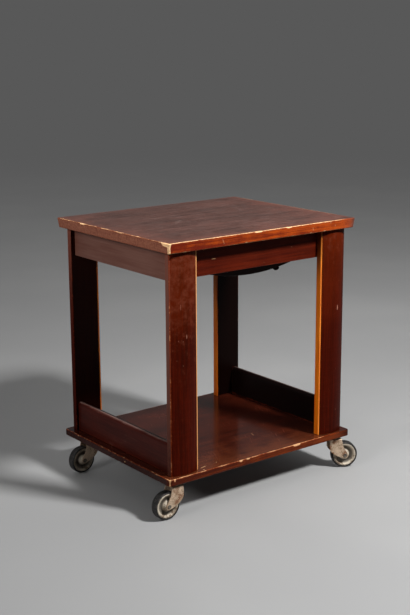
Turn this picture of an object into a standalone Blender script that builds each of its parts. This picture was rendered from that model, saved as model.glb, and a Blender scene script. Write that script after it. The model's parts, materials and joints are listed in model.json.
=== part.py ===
"""Side table on four swivel castors, modelled piece by piece.

Units are metres with +Z up. The floor is z = 0 and the table is centred on x = 0, y = 0.
The front, where the bowed rail shows under the apron, faces -Y.
"""

import math

import bmesh
import bpy
from mathutils import Matrix, Vector

# Fits and small rounds
FIT = 0.0003
RUNNING = 0.0002
ARRIS = 0.0008
MERGE = 0.00001
SHARP_ANGLE = math.radians(38)

# Frame, measured over the legs' outer edges
FRAME_WIDTH = 0.472
FRAME_DEPTH = 0.377
LEG_HEIGHT = 0.4635

# Top panel
TOP_THICKNESS = 0.021
TOP_SIDE_OVERHANG = 0.014
TOP_FRONT_OVERHANG = 0.0195
TOP_UNDERCUT = 0.0027
TOP_ARRIS = 0.0012

# Shelf
SHELF_THICKNESS = 0.014
SHELF_SIDE_OVERHANG = 0.015
SHELF_FRONT_OVERHANG = 0.0155
SHELF_CORNER_RADIUS = 0.008
SHELF_ARRIS = 0.0015

# Legs: boards flat behind and bowed in front, with a lipping on the inner edge
LEG_WIDTH = 0.068
LEG_EDGE = 0.0132
LEG_BOW = 0.008
LIPPING_THICKNESS = 0.003

# Apron box
APRON_HEIGHT = 0.061
APRON_THICKNESS = 0.018
APRON_SIDE_SETBACK = 0.010
CORNER_BLOCK_LEG = 0.020
CORNER_BLOCK_HEIGHT = 0.050

# Bowed rail behind the front apron, and its knob
BOWED_RAIL_THICKNESS = 0.018
BOWED_RAIL_DROP = 0.018
BOWED_RAIL_CHORD = 0.258
KNOB_PLACE = 0.075
KNOB_RADIUS = 0.007
KNOB_NECK_RADIUS = 0.0052
KNOB_BELLY = 0.0032
KNOB_LENGTH = 0.009
KNOB_PEG_RADIUS = 0.003
KNOB_PEG_LENGTH = 0.010

# Lower side rails
SIDE_RAIL_HEIGHT = 0.066
SIDE_RAIL_THICKNESS = 0.015
SIDE_RAIL_SETBACK = 0.006
SIDE_RAIL_ROUND = 0.006

# Castor places, from the shelf's edges, and the way each castor trails at rest
FRONT_CASTOR_INSET = 0.021
FRONT_CASTOR_SIDE_INSET = 0.027
BACK_CASTOR_INSET = 0.055
BACK_CASTOR_SIDE_INSET = 0.031
CASTOR_REST_ANGLES = {
    "front_left": 179.0,
    "front_right": -28.0,
    "back_left": 183.0,
    "back_right": -3.0,
}

# Castor plate, race and kingpin. HEAD_CROWN is the share of a head's radius that stays flat
HEAD_CROWN = 0.7
PLATE_LENGTH = 0.048
PLATE_WIDTH = 0.030
PLATE_THICKNESS = 0.0022
SCREW_PITCH = 0.036
SCREW_RADIUS = 0.0018
SCREW_HEAD_RADIUS = 0.0035
SCREW_HEAD_HEIGHT = 0.0020
SCREW_GRIP = 0.009
SCREW_POINT = 0.0036
RACE_RADIUS = 0.0125
RACE_HEIGHT = 0.0026
RACE_EDGE = 0.0007
KINGPIN_RADIUS = 0.005
KINGPIN_HEAD_RADIUS = 0.008
KINGPIN_HEAD_HEIGHT = 0.0024

# Fork, drawn with x along the trail and z above the axle
TRAIL = 0.023
FORK_RISE = 0.0398
FORK_GAUGE = 0.0020
FORK_HALF_LENGTH = 0.0142
FORK_LEADING_FOOT = 0.019
FORK_LIP = 0.0039
FORK_END_RADIUS = 0.0068
FORK_END_ARC = (-105.0, 40.0)
FORK_BELLY = (-0.010, 0.002)
FORK_SHOULDER = (0.0186, 0.021)
FORK_BEND = 0.0028
FORK_LIP_END = 0.014

# Axle, wheel and tyre
AXLE_RADIUS = 0.003
AXLE_HEAD_RADIUS = 0.0046
AXLE_HEAD_HEIGHT = 0.0013
AXLE_DIMPLE_RADIUS = 0.0023
AXLE_DIMPLE_DEPTH = 0.0016
WHEEL_RADIUS = 0.030
HUB_LENGTH = 0.0216
HUB_PLAY = 0.0006
HUB_RADIUS = 0.0075
CONE_RADIUS = 0.0155
WEB_THICKNESS = 0.005
RIM_LIP_RADIUS = 0.0205
RIM_FLARE = 0.0012
RIM_WIDTH = 0.0166
RIM_GROOVE_WIDTH = 0.009
RIM_GROOVE_DEPTH = 0.0016
TYRE_DEPTH = 0.0035
TYRE_WIDTH = 0.018
TREAD_WIDTH = 0.011
SHOULDER_DROP = 0.0022

# Facet counts
WHEEL_FACETS = 32
PIN_FACETS = 16
SCREW_FACETS = 10
BOW_STEPS = 14
CORNER_STEPS = 5
RAIL_STEPS = 24
SHOULDER_STEPS = 3
BEND_STEPS = 3
ARRIS_STEPS = 2

# Heights and planes worked out from the sizes above
AXLE_HEIGHT = WHEEL_RADIUS * math.cos(math.pi / WHEEL_FACETS)
CROWN_TOP = AXLE_HEIGHT + FORK_RISE
RACE_BASE = CROWN_TOP + FIT
PLATE_BASE = RACE_BASE + RACE_HEIGHT + FIT
PLATE_TOP = PLATE_BASE + PLATE_THICKNESS
SHELF_BASE = PLATE_TOP + FIT
SHELF_TOP = SHELF_BASE + SHELF_THICKNESS
TOP_BASE = SHELF_TOP + LEG_HEIGHT
APRON_BASE = TOP_BASE - APRON_HEIGHT
LEG_BACK_PLANE = FRAME_DEPTH / 2 - LEG_EDGE
APRON_SIDE_FACE = FRAME_WIDTH / 2 - APRON_SIDE_SETBACK
APRON_SIDE_INNER = APRON_SIDE_FACE - APRON_THICKNESS
APRON_FRONT_FACE = LEG_BACK_PLANE - FIT
APRON_FRONT_INNER = APRON_FRONT_FACE - APRON_THICKNESS
BOWED_RAIL_FACE = APRON_FRONT_INNER - FIT
SHELF_HALF_WIDTH = FRAME_WIDTH / 2 + SHELF_SIDE_OVERHANG
SHELF_HALF_DEPTH = FRAME_DEPTH / 2 + SHELF_FRONT_OVERHANG
FORK_INNER = HUB_LENGTH / 2 + HUB_PLAY
FORK_OUTER = FORK_INNER + FORK_GAUGE
RIM_RADIUS = WHEEL_RADIUS - TYRE_DEPTH - FIT

SIDES = {"left": -1, "right": 1}
ENDS = {"front": -1, "back": 1}


def along_z(a, b, depth):
    """Plan outline, extruded upwards."""
    return Vector((a, b, depth))


def along_y(a, b, depth):
    """Outline seen from the front, extruded to the back."""
    return Vector((a, depth, b))


def linear(hex_colour):
    """Colour of an sRGB hex code in Blender's linear values."""
    channels = [int(hex_colour[i:i + 2], 16) / 255 for i in (1, 3, 5)]
    return [c / 12.92 if c <= 0.04045 else ((c + 0.055) / 1.055) ** 2.4 for c in channels]


def make_material(name, hex_colour, roughness, metallic):
    material = bpy.data.materials.new(name)
    material.use_nodes = True
    shader = material.node_tree.nodes["Principled BSDF"]
    shader.inputs["Base Color"].default_value = (*linear(hex_colour), 1.0)
    shader.inputs["Roughness"].default_value = roughness
    shader.inputs["Metallic"].default_value = metallic
    return material


def to_mesh(bm, name):
    """Mesh with outward normals and smooth shading up to sharp edges."""
    bmesh.ops.recalc_face_normals(bm, faces=bm.faces)
    mesh = bpy.data.meshes.new(name)
    bm.to_mesh(mesh)
    bm.free()
    mesh.shade_smooth()
    mesh.set_sharp_from_angle(angle=SHARP_ANGLE)
    return mesh


def add_node(name, mesh, material, parent=None):
    """Object of one piece. Meshes may be shared by repeated pieces."""
    if material.name not in mesh.materials:
        mesh.materials.append(material)
    node = bpy.data.objects.new(name, mesh)
    node.parent = parent
    bpy.context.scene.collection.objects.link(node)
    return node


def add_empty(name, location, angle=0.0, parent=None):
    """Empty that carries what turns or sits at one place."""
    empty = bpy.data.objects.new(name, None)
    empty.location = location
    empty.rotation_euler = (0.0, 0.0, angle)
    empty.parent = parent
    bpy.context.scene.collection.objects.link(empty)
    return empty


def round_arrises(node, width):
    """Softens a wooden piece's sharp edges with a Bevel modifier."""
    bevel = node.modifiers.new("Arrises", "BEVEL")
    bevel.width = width
    bevel.segments = ARRIS_STEPS
    bevel.limit_method = "ANGLE"
    bevel.angle_limit = SHARP_ANGLE


def arc(centre, radius, start, end, steps):
    """Points on a circle from one angle to another, both ends included."""
    angles = [start + (end - start) * i / steps for i in range(steps + 1)]
    return [(centre[0] + radius * math.cos(t), centre[1] + radius * math.sin(t)) for t in angles]


def curve(start, control, end, steps):
    """Points on a quadratic curve, without its two ends."""
    points = []
    for i in range(1, steps):
        t = i / steps
        weights = ((1 - t) ** 2, 2 * t * (1 - t), t ** 2)
        points.append(tuple(sum(w * p[k] for w, p in zip(weights, (start, control, end))) for k in (0, 1)))
    return points


def prism(outline, low, high, axes=along_z):
    """Closed solid from a flat outline, extruded from low to high."""
    bm = bmesh.new()
    face = bm.faces.new([bm.verts.new(axes(a, b, low)) for a, b in outline])
    extruded = bmesh.ops.extrude_face_region(bm, geom=[face])["geom"]
    far_verts = [item for item in extruded if isinstance(item, bmesh.types.BMVert)]
    bmesh.ops.translate(bm, verts=far_verts, vec=axes(0.0, 0.0, high - low))
    return bm


def block(low, high):
    """Plain block between two opposite corners."""
    outline = [(low[0], low[1]), (high[0], low[1]), (high[0], high[1]), (low[0], high[1])]
    return prism(outline, low[2], high[2])


def turned(profile, facets, phase=0.0):
    """Solid of revolution about Z from a closed or axis-to-axis profile of radius and height."""
    bm = bmesh.new()
    start = Matrix.Rotation(phase, 3, "Z")
    verts = [bm.verts.new(start @ Vector((r, 0.0, z))) for r, z in profile]
    pairs = list(zip(verts, verts[1:]))
    if profile[0][0] > 0:
        pairs.append((verts[-1], verts[0]))
    edges = [bm.edges.new(pair) for pair in pairs]
    bmesh.ops.spin(bm, geom=verts + edges, cent=(0, 0, 0), axis=(0, 0, 1), dvec=(0, 0, 0),
                   angle=2 * math.pi, steps=facets, use_merge=True)
    bmesh.ops.remove_doubles(bm, verts=bm.verts, dist=MERGE)
    return bm


def cylinder(radius, low, high, facets):
    return turned([(0.0, high), (radius, high), (radius, low), (0.0, low)], facets)


def laid_on_y(bm):
    """Turns a solid of revolution so that its axis runs along Y."""
    bmesh.ops.transform(bm, matrix=Matrix.Rotation(-math.pi / 2, 4, "X"), verts=bm.verts)
    return bm


def moved(bm, offset):
    bmesh.ops.translate(bm, verts=bm.verts, vec=Vector(offset))
    return bm


def carved(name, solid, cutters, arris=None):
    """Mesh of a solid, its arrises softened if asked, with every cutter taken out of it."""
    body = add_temporary(name + "_body", solid)
    if arris:
        round_arrises(body, arris)
    tools = [add_temporary(f"{name}_cutter_{i}", cutter) for i, cutter in enumerate(cutters)]
    for tool in tools:
        cut = body.modifiers.new(tool.name, "BOOLEAN")
        cut.operation = "DIFFERENCE"
        cut.solver = "EXACT"
        cut.object = tool
    evaluated = body.evaluated_get(bpy.context.evaluated_depsgraph_get())
    bm = bmesh.new()
    bm.from_mesh(evaluated.to_mesh())
    evaluated.to_mesh_clear()
    for item in [body] + tools:
        bpy.data.objects.remove(item, do_unlink=True)
    bmesh.ops.remove_doubles(bm, verts=bm.verts, dist=MERGE)
    return to_mesh(bm, name)


def add_temporary(name, bm):
    bmesh.ops.recalc_face_normals(bm, faces=bm.faces)
    mesh = bpy.data.meshes.new(name)
    bm.to_mesh(mesh)
    bm.free()
    item = bpy.data.objects.new(name, mesh)
    bpy.context.scene.collection.objects.link(item)
    return item


def castor_places():
    """Swivel axis of each castor as (x, y), by corner name."""
    insets = {
        "front": (FRONT_CASTOR_SIDE_INSET, FRONT_CASTOR_INSET),
        "back": (BACK_CASTOR_SIDE_INSET, BACK_CASTOR_INSET),
    }
    places = {}
    for end, back in ENDS.items():
        side_inset, inset = insets[end]
        for side, right in SIDES.items():
            x = right * (SHELF_HALF_WIDTH - side_inset)
            y = back * (SHELF_HALF_DEPTH - inset)
            places[f"{end}_{side}"] = (x, y)
    return places


def screw_offsets():
    return {"left": -SCREW_PITCH / 2, "right": SCREW_PITCH / 2}


def build_top(wood):
    """Top slab whose edges lean in towards the underside."""
    half_x = FRAME_WIDTH / 2 + TOP_SIDE_OVERHANG
    half_y = FRAME_DEPTH / 2 + TOP_FRONT_OVERHANG
    high = TOP_BASE + TOP_THICKNESS
    bm = block((-half_x, -half_y, TOP_BASE), (half_x, half_y, high))
    for vert in bm.verts:
        if vert.co.z < high - TOP_THICKNESS / 2:
            vert.co.x *= (half_x - TOP_UNDERCUT) / half_x
            vert.co.y *= (half_y - TOP_UNDERCUT) / half_y
    round_arrises(add_node("top_panel", to_mesh(bm, "top_panel"), wood), TOP_ARRIS)


def build_shelf(wood):
    """Shelf with rounded corners and a pilot hole for each castor screw."""
    x = SHELF_HALF_WIDTH - SHELF_CORNER_RADIUS
    y = SHELF_HALF_DEPTH - SHELF_CORNER_RADIUS
    outline = []
    for quarter, centre in enumerate(((x, y), (-x, y), (-x, -y), (x, -y))):
        start = quarter * math.pi / 2
        outline += arc(centre, SHELF_CORNER_RADIUS, start, start + math.pi / 2, CORNER_STEPS)
    solid = prism(outline, SHELF_BASE, SHELF_TOP)
    depth = SCREW_GRIP + FIT
    holes = []
    for place in castor_places().values():
        for offset in screw_offsets().values():
            hole = cylinder(SCREW_RADIUS + FIT, SHELF_BASE - depth, SHELF_BASE + depth, SCREW_FACETS)
            holes.append(moved(hole, (place[0] + offset, place[1], 0.0)))
    add_node("shelf", carved("shelf", solid, holes, SHELF_ARRIS), wood)


def leg_outline(start, stop, steps):
    """Section of a leg board between two distances from its outer edge.

    The front is an arc of LEG_BOW over the whole width, so the leg and its lipping share it.
    """
    half = LEG_WIDTH / 2
    radius = (half ** 2 + LEG_BOW ** 2) / (2 * LEG_BOW)
    stations = [start + (stop - start) * i / steps for i in range(steps + 1)]
    front = [(u, LEG_EDGE + LEG_BOW - radius + math.sqrt(radius ** 2 - (u - half) ** 2)) for u in stations]
    return front + [(stop, 0.0), (start, 0.0)]


def build_legs(wood, lipping_wood):
    pieces = {
        "leg": (leg_outline(0.0, LEG_WIDTH - LIPPING_THICKNESS - FIT, BOW_STEPS), wood),
        "lipping": (leg_outline(LEG_WIDTH - LIPPING_THICKNESS, LEG_WIDTH, 1), lipping_wood),
    }
    for end, back in ENDS.items():
        for side, right in SIDES.items():
            for piece, (section, material) in pieces.items():
                outline = [(right * (FRAME_WIDTH / 2 - u), back * (LEG_BACK_PLANE + v)) for u, v in section]
                name = f"{piece}_{end}_{side}"
                mesh = to_mesh(prism(outline, SHELF_TOP + FIT, TOP_BASE - FIT), name)
                round_arrises(add_node(name, mesh, material), ARRIS)


def build_aprons(wood):
    """Four aprons under the top. The front and back ones fit between the side ones."""
    high = TOP_BASE - FIT
    for side, right in SIDES.items():
        xs = sorted((right * APRON_SIDE_FACE, right * APRON_SIDE_INNER))
        bm = block((xs[0], -APRON_FRONT_FACE, APRON_BASE), (xs[1], APRON_FRONT_FACE, high))
        name = f"apron_{side}"
        round_arrises(add_node(name, to_mesh(bm, name), wood), ARRIS)
    reach = APRON_SIDE_INNER - FIT
    for end, back in ENDS.items():
        ys = sorted((back * APRON_FRONT_FACE, back * APRON_FRONT_INNER))
        bm = block((-reach, ys[0], APRON_BASE), (reach, ys[1], high))
        name = f"apron_{end}"
        round_arrises(add_node(name, to_mesh(bm, name), wood), ARRIS)


def build_corner_blocks(wood):
    """Triangular glue blocks inside the apron box, up against the top.

    The front ones sit behind the bowed rail, the back ones against the back apron.
    """
    high = TOP_BASE - FIT
    seats = {"front": BOWED_RAIL_FACE - BOWED_RAIL_THICKNESS - FIT, "back": APRON_FRONT_INNER - FIT}
    for end, back in ENDS.items():
        for side, right in SIDES.items():
            x = right * (APRON_SIDE_INNER - FIT)
            y = back * seats[end]
            outline = [(x, y), (x - right * CORNER_BLOCK_LEG, y), (x, y - back * CORNER_BLOCK_LEG)]
            name = f"corner_block_{end}_{side}"
            add_node(name, to_mesh(prism(outline, high - CORNER_BLOCK_HEIGHT, high), name), wood)


def bow_radius():
    """Radius of the bowed rail's lower edge, from its chord and drop at the aprons' lower edge."""
    half = BOWED_RAIL_CHORD / 2
    return (half ** 2 + BOWED_RAIL_DROP ** 2) / (2 * BOWED_RAIL_DROP)


def bow_centre():
    return APRON_BASE - BOWED_RAIL_DROP + bow_radius()


def knob_turn():
    """Turn that sets the knob square to the bowed edge, and the point where it sits."""
    radius = bow_radius()
    tilt = math.asin(KNOB_PLACE / radius)
    middle = BOWED_RAIL_THICKNESS / 2 - BOWED_RAIL_FACE
    seat = Vector((KNOB_PLACE, middle, bow_centre() - radius * math.cos(tilt)))
    return Matrix.Translation(seat) @ Matrix.Rotation(-tilt, 4, "Y")


def build_bowed_rail(wood):
    """Rail behind the front apron with a bowed lower edge, and the knob on that edge."""
    reach = APRON_SIDE_INNER - FIT
    span = math.asin(reach / bow_radius())
    edge = arc((0.0, bow_centre()), bow_radius(), -math.pi / 2 - span, -math.pi / 2 + span, RAIL_STEPS)
    high = TOP_BASE - FIT
    face = -BOWED_RAIL_FACE
    solid = prism(edge + [(reach, high), (-reach, high)], face, face + BOWED_RAIL_THICKNESS, along_y)
    hole = cylinder(KNOB_PEG_RADIUS + FIT, -KNOB_LENGTH, KNOB_PEG_LENGTH + FIT, PIN_FACETS)
    bmesh.ops.transform(hole, matrix=knob_turn(), verts=hole.verts)
    add_node("bowed_rail", carved("bowed_rail", solid, [hole], ARRIS), wood)
    seat = -FIT
    profile = [
        (0.0, KNOB_PEG_LENGTH),
        (KNOB_PEG_RADIUS, KNOB_PEG_LENGTH),
        (KNOB_PEG_RADIUS, seat),
        (KNOB_NECK_RADIUS, seat),
    ]
    for c, s in arc((0.0, 0.0), 1.0, 0.0, math.pi / 2, CORNER_STEPS):
        profile.append((KNOB_RADIUS * max(c, 0.0), -KNOB_BELLY - (KNOB_LENGTH - KNOB_BELLY) * s))
    profile[-1] = (0.0, -KNOB_LENGTH)
    knob = add_node("bowed_rail_knob", to_mesh(turned(profile, PIN_FACETS), "bowed_rail_knob"), wood)
    knob.matrix_world = knob_turn()


def build_side_rails(wood):
    """Low rails on the shelf between front and back legs, rounded along the top."""
    reach = LEG_BACK_PLANE - FIT
    low = SHELF_TOP + FIT
    high = SHELF_TOP + SIDE_RAIL_HEIGHT
    for side, right in SIDES.items():
        outer = right * (FRAME_WIDTH / 2 - SIDE_RAIL_SETBACK)
        inner = outer - right * SIDE_RAIL_THICKNESS
        left, far = sorted((outer, inner))
        shoulder = high - SIDE_RAIL_ROUND
        outline = [(left, low), (far, low)]
        outline += arc((far - SIDE_RAIL_ROUND, shoulder), SIDE_RAIL_ROUND, 0.0, math.pi / 2, CORNER_STEPS)
        outline += arc((left + SIDE_RAIL_ROUND, shoulder), SIDE_RAIL_ROUND, math.pi / 2, math.pi, CORNER_STEPS)
        name = f"side_rail_{side}"
        add_node(name, to_mesh(prism(outline, -reach, reach, along_y), name), wood)


def plate_mesh():
    """Round-ended plate with the kingpin's hole and two screw holes."""
    radius = PLATE_WIDTH / 2
    centre = PLATE_LENGTH / 2 - radius
    outline = arc((centre, 0.0), radius, -math.pi / 2, math.pi / 2, PIN_FACETS // 2)
    outline += arc((-centre, 0.0), radius, math.pi / 2, 3 * math.pi / 2, PIN_FACETS // 2)
    holes = [cylinder(KINGPIN_RADIUS + FIT, PLATE_BASE - FIT, PLATE_TOP + FIT, PIN_FACETS)]
    for offset in screw_offsets().values():
        hole = cylinder(SCREW_RADIUS + FIT, PLATE_BASE - FIT, PLATE_TOP + FIT, SCREW_FACETS)
        holes.append(moved(hole, (offset, 0.0, 0.0)))
    return carved("castor_plate", prism(outline, PLATE_BASE, PLATE_TOP), holes)


def race_mesh():
    """Swivel bearing race between plate and fork, as a ring with eased edges."""
    bore = KINGPIN_RADIUS + RUNNING
    high = RACE_BASE + RACE_HEIGHT
    profile = [
        (bore, high),
        (RACE_RADIUS - RACE_EDGE, high),
        (RACE_RADIUS, high - RACE_EDGE),
        (RACE_RADIUS, RACE_BASE + RACE_EDGE),
        (RACE_RADIUS - RACE_EDGE, RACE_BASE),
        (bore, RACE_BASE),
    ]
    return to_mesh(turned(profile, PIN_FACETS), "swivel_race")


def kingpin_mesh():
    """Rivet from the plate down through race and fork, with its head under the fork's crown."""
    head_top = CROWN_TOP - FORK_GAUGE - FIT
    head_base = head_top - KINGPIN_HEAD_HEIGHT
    profile = [
        (0.0, PLATE_TOP),
        (KINGPIN_RADIUS, PLATE_TOP),
        (KINGPIN_RADIUS, head_top),
        (KINGPIN_HEAD_RADIUS, head_top),
        (KINGPIN_HEAD_RADIUS, head_base + KINGPIN_HEAD_HEIGHT / 2),
        (KINGPIN_HEAD_RADIUS * HEAD_CROWN, head_base),
        (0.0, head_base),
    ]
    return to_mesh(turned(profile, PIN_FACETS), "kingpin")


def screw_mesh():
    """Pan-headed wood screw, drawn with its axis on Z, up through the plate into the shelf."""
    head_top = PLATE_BASE - FIT
    head_base = head_top - SCREW_HEAD_HEIGHT
    tip = SHELF_BASE + SCREW_GRIP
    profile = [
        (0.0, tip),
        (SCREW_RADIUS, tip - SCREW_POINT),
        (SCREW_RADIUS, head_top),
        (SCREW_HEAD_RADIUS, head_top),
        (SCREW_HEAD_RADIUS, head_base + SCREW_HEAD_HEIGHT / 2),
        (SCREW_HEAD_RADIUS * HEAD_CROWN, head_base),
        (0.0, head_base),
    ]
    return to_mesh(turned(profile, SCREW_FACETS), "plate_screw")


def fork_outline():
    """Side of the fork: crown, leading edge, belly curve, round end at the axle and shoulder."""
    foot = (-FORK_HALF_LENGTH, FORK_LEADING_FOOT)
    start, stop = (math.radians(angle) for angle in FORK_END_ARC)
    end = arc((TRAIL, 0.0), FORK_END_RADIUS, start, stop, 2 * CORNER_STEPS)
    outline = [(FORK_HALF_LENGTH, FORK_RISE), (-FORK_HALF_LENGTH, FORK_RISE), foot]
    outline += curve(foot, FORK_BELLY, end[0], 2 * CORNER_STEPS)
    outline += end + [FORK_SHOULDER]
    return [(x, AXLE_HEIGHT + z) for x, z in outline]


def bend_edges(bm):
    """Edges of the fork's blank where the sheet is bent: round the crown and down the leading edge."""
    foot = AXLE_HEIGHT + FORK_LEADING_FOOT
    bends = []
    for edge in bm.edges:
        a, b = (vert.co for vert in edge.verts)
        crown = a.z > CROWN_TOP - MERGE and b.z > CROWN_TOP - MERGE
        leading = max(a.x, b.x) < MERGE - FORK_HALF_LENGTH and min(a.z, b.z) > foot - MERGE
        trailing = min(a.x, b.x) > FORK_HALF_LENGTH - MERGE
        lower_end = max(a.z, b.z) < foot + MERGE
        if (crown or leading) and not trailing and not lower_end:
            bends.append(edge)
    return bends


def fork_mesh():
    """Pressed fork: crown, two cheeks and turned-in lips on the leading edge."""
    blank = prism(fork_outline(), -FORK_OUTER, FORK_OUTER, along_y)
    bmesh.ops.bevel(blank, geom=bend_edges(blank), offset=FORK_BEND, segments=BEND_STEPS, affect="EDGES",
                    profile=0.5)
    reach = TRAIL + 2 * FORK_END_RADIUS
    inside = FORK_GAUGE - FORK_HALF_LENGTH
    ceiling = CROWN_TOP - FORK_GAUGE
    lip_end = AXLE_HEIGHT + FORK_LIP_END
    floor = AXLE_HEIGHT - 2 * FORK_END_RADIUS
    hollow = [(reach, ceiling), (inside, ceiling), (inside, lip_end), (-reach, lip_end),
              (-reach, floor), (reach, floor)]
    lip = FORK_INNER - FORK_LIP
    slot = [(0.0, ceiling - FORK_LIP), (-reach, ceiling - FORK_LIP), (-reach, floor), (0.0, floor)]
    axle_hole = laid_on_y(cylinder(AXLE_RADIUS + FIT, -2 * FORK_OUTER, 2 * FORK_OUTER, PIN_FACETS))
    cutters = [
        prism(hollow, -FORK_INNER, FORK_INNER, along_y),
        prism(slot, -lip, lip, along_y),
        moved(axle_hole, (TRAIL, 0.0, AXLE_HEIGHT)),
        cylinder(KINGPIN_RADIUS + RUNNING, ceiling - FIT, CROWN_TOP + FIT, PIN_FACETS),
    ]
    return carved("fork", blank, cutters)


def mirrored(half):
    """Closed profile from its upper half, mirrored about height zero."""
    return half + [(r, -z) for r, z in reversed(half)]


def axle_mesh():
    """Riveted axle pin with a dimple in each head."""
    seat = FORK_OUTER + FIT
    tip = seat + AXLE_HEAD_HEIGHT
    half = [
        (0.0, tip - AXLE_DIMPLE_DEPTH),
        (AXLE_DIMPLE_RADIUS, tip),
        (AXLE_HEAD_RADIUS * HEAD_CROWN, tip),
        (AXLE_HEAD_RADIUS, seat + AXLE_HEAD_HEIGHT / 2),
        (AXLE_HEAD_RADIUS, seat),
        (AXLE_RADIUS, seat),
    ]
    return to_mesh(laid_on_y(turned(mirrored(half), PIN_FACETS)), "axle")


def wheel_mesh():
    """Wheel centre: hub, cone, web and rim with a groove for the tyre's bead."""
    rim_half = RIM_WIDTH / 2
    web_half = WEB_THICKNESS / 2
    half = [
        (AXLE_RADIUS + RUNNING, HUB_LENGTH / 2),
        (HUB_RADIUS, HUB_LENGTH / 2),
        (CONE_RADIUS, web_half),
        (RIM_LIP_RADIUS - RIM_FLARE, web_half),
        (RIM_LIP_RADIUS, rim_half),
        (RIM_RADIUS, rim_half),
        (RIM_RADIUS, RIM_GROOVE_WIDTH / 2),
        (RIM_RADIUS - RIM_GROOVE_DEPTH, RIM_GROOVE_WIDTH / 2),
    ]
    bm = turned(mirrored(half), WHEEL_FACETS, math.pi / WHEEL_FACETS)
    return to_mesh(laid_on_y(bm), "wheel")


def tyre_mesh():
    """Rubber tyre with round shoulders and a bead that sits in the rim's groove."""
    seat = RIM_RADIUS + FIT
    bead = seat - RIM_GROOVE_DEPTH
    bead_half = RIM_GROOVE_WIDTH / 2 - FIT
    half = []
    for c, s in arc((0.0, 0.0), 1.0, math.pi / 2, 0.0, SHOULDER_STEPS):
        radius = WHEEL_RADIUS - SHOULDER_DROP * (1 - s)
        half.append((radius, TREAD_WIDTH / 2 + (TYRE_WIDTH - TREAD_WIDTH) / 2 * c))
    half += [(seat, TYRE_WIDTH / 2), (seat, bead_half), (bead, bead_half)]
    bm = turned(mirrored(half), WHEEL_FACETS, math.pi / WHEEL_FACETS)
    return to_mesh(laid_on_y(bm), "tyre")


def build_castors(metal, steel, disc_metal, rubber):
    """Four castors. What is screwed to the shelf stays square, and the rest turns with the fork."""
    fixed = {
        "castor_plate": (plate_mesh(), metal),
        "swivel_race": (race_mesh(), steel),
        "kingpin": (kingpin_mesh(), steel),
    }
    swivelling = {"fork": (fork_mesh(), metal)}
    on_axle = {
        "axle": (axle_mesh(), steel),
        "wheel": (wheel_mesh(), disc_metal),
        "tyre": (tyre_mesh(), rubber),
    }
    screw = screw_mesh()
    for corner, place in castor_places().items():
        mount = add_empty(f"mount_{corner}", (place[0], place[1], 0.0))
        swivel = add_empty(f"swivel_{corner}", (place[0], place[1], 0.0), math.radians(CASTOR_REST_ANGLES[corner]))
        hub = add_empty(f"hub_{corner}", (TRAIL, 0.0, AXLE_HEIGHT), parent=swivel)
        for pieces, parent in ((fixed, mount), (swivelling, swivel), (on_axle, hub)):
            for piece, (mesh, material) in pieces.items():
                add_node(f"{piece}_{corner}", mesh, material, parent)
        for side, offset in screw_offsets().items():
            node = add_node(f"plate_screw_{side}_{corner}", screw, steel, mount)
            node.location = (offset, 0.0, 0.0)


def main():
    for item in list(bpy.data.objects):
        bpy.data.objects.remove(item, do_unlink=True)
    wood = make_material("stained_wood", "#4a1a10", 0.38, 0.0)
    lipping_wood = make_material("honey_lipping", "#c98a3c", 0.40, 0.0)
    block_wood = make_material("raw_wood", "#b58a5a", 0.70, 0.0)
    metal = make_material("plated_sheet", "#c4b49c", 0.42, 0.9)
    disc_metal = make_material("pressed_disc", "#b9b1a2", 0.35, 0.9)
    steel = make_material("rivet_steel", "#8c8780", 0.40, 1.0)
    rubber = make_material("tyre_rubber", "#1c1b1a", 0.75, 0.0)
    build_top(wood)
    build_aprons(wood)
    build_corner_blocks(block_wood)
    build_bowed_rail(wood)
    build_legs(wood, lipping_wood)
    build_side_rails(wood)
    build_shelf(wood)
    build_castors(metal, steel, disc_metal, rubber)


main()
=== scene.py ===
"""Looks of a low side table on castors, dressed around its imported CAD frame.

The boards, wheel centres and tyres are surfaces worked out with numpy, with worn arrises and nicks in
their shape. They stand in the places of their CAD nodes. All other nodes stay and get finishes.
Units are metres in the frame of the CAD: +Z up, and the front of the table faces -Y.
"""

import functools
import json
import logging
import math
from dataclasses import dataclass, field
from enum import Enum

import bpy
import numpy as np
from mathutils import Matrix, Vector

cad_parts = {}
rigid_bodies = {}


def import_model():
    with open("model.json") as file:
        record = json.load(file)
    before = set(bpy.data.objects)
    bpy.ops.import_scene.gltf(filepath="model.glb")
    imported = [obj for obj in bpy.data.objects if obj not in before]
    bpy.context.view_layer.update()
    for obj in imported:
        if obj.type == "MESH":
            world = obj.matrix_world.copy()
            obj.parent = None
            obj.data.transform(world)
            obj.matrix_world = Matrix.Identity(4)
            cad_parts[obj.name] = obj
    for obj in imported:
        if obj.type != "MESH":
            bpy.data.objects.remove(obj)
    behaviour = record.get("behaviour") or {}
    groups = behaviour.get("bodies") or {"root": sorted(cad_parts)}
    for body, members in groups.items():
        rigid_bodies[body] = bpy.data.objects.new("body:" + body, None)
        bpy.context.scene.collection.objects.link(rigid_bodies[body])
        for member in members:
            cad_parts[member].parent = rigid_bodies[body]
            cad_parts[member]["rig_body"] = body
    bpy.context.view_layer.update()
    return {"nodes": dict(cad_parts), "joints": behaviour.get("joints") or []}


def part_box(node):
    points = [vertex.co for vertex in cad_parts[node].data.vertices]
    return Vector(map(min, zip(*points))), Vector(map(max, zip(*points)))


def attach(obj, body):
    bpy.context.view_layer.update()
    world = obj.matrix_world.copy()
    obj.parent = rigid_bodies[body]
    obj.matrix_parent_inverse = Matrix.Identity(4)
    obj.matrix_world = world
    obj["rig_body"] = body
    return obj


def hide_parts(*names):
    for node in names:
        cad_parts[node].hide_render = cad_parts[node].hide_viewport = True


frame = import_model()

LOG = logging.getLogger("side_table")
MM = 0.001
# Least steps round an arris, round a bend of an outline and along a board
ARRIS_STEPS = 4
BEND_STEPS = 4
BOARD_STEPS = 3
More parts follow.
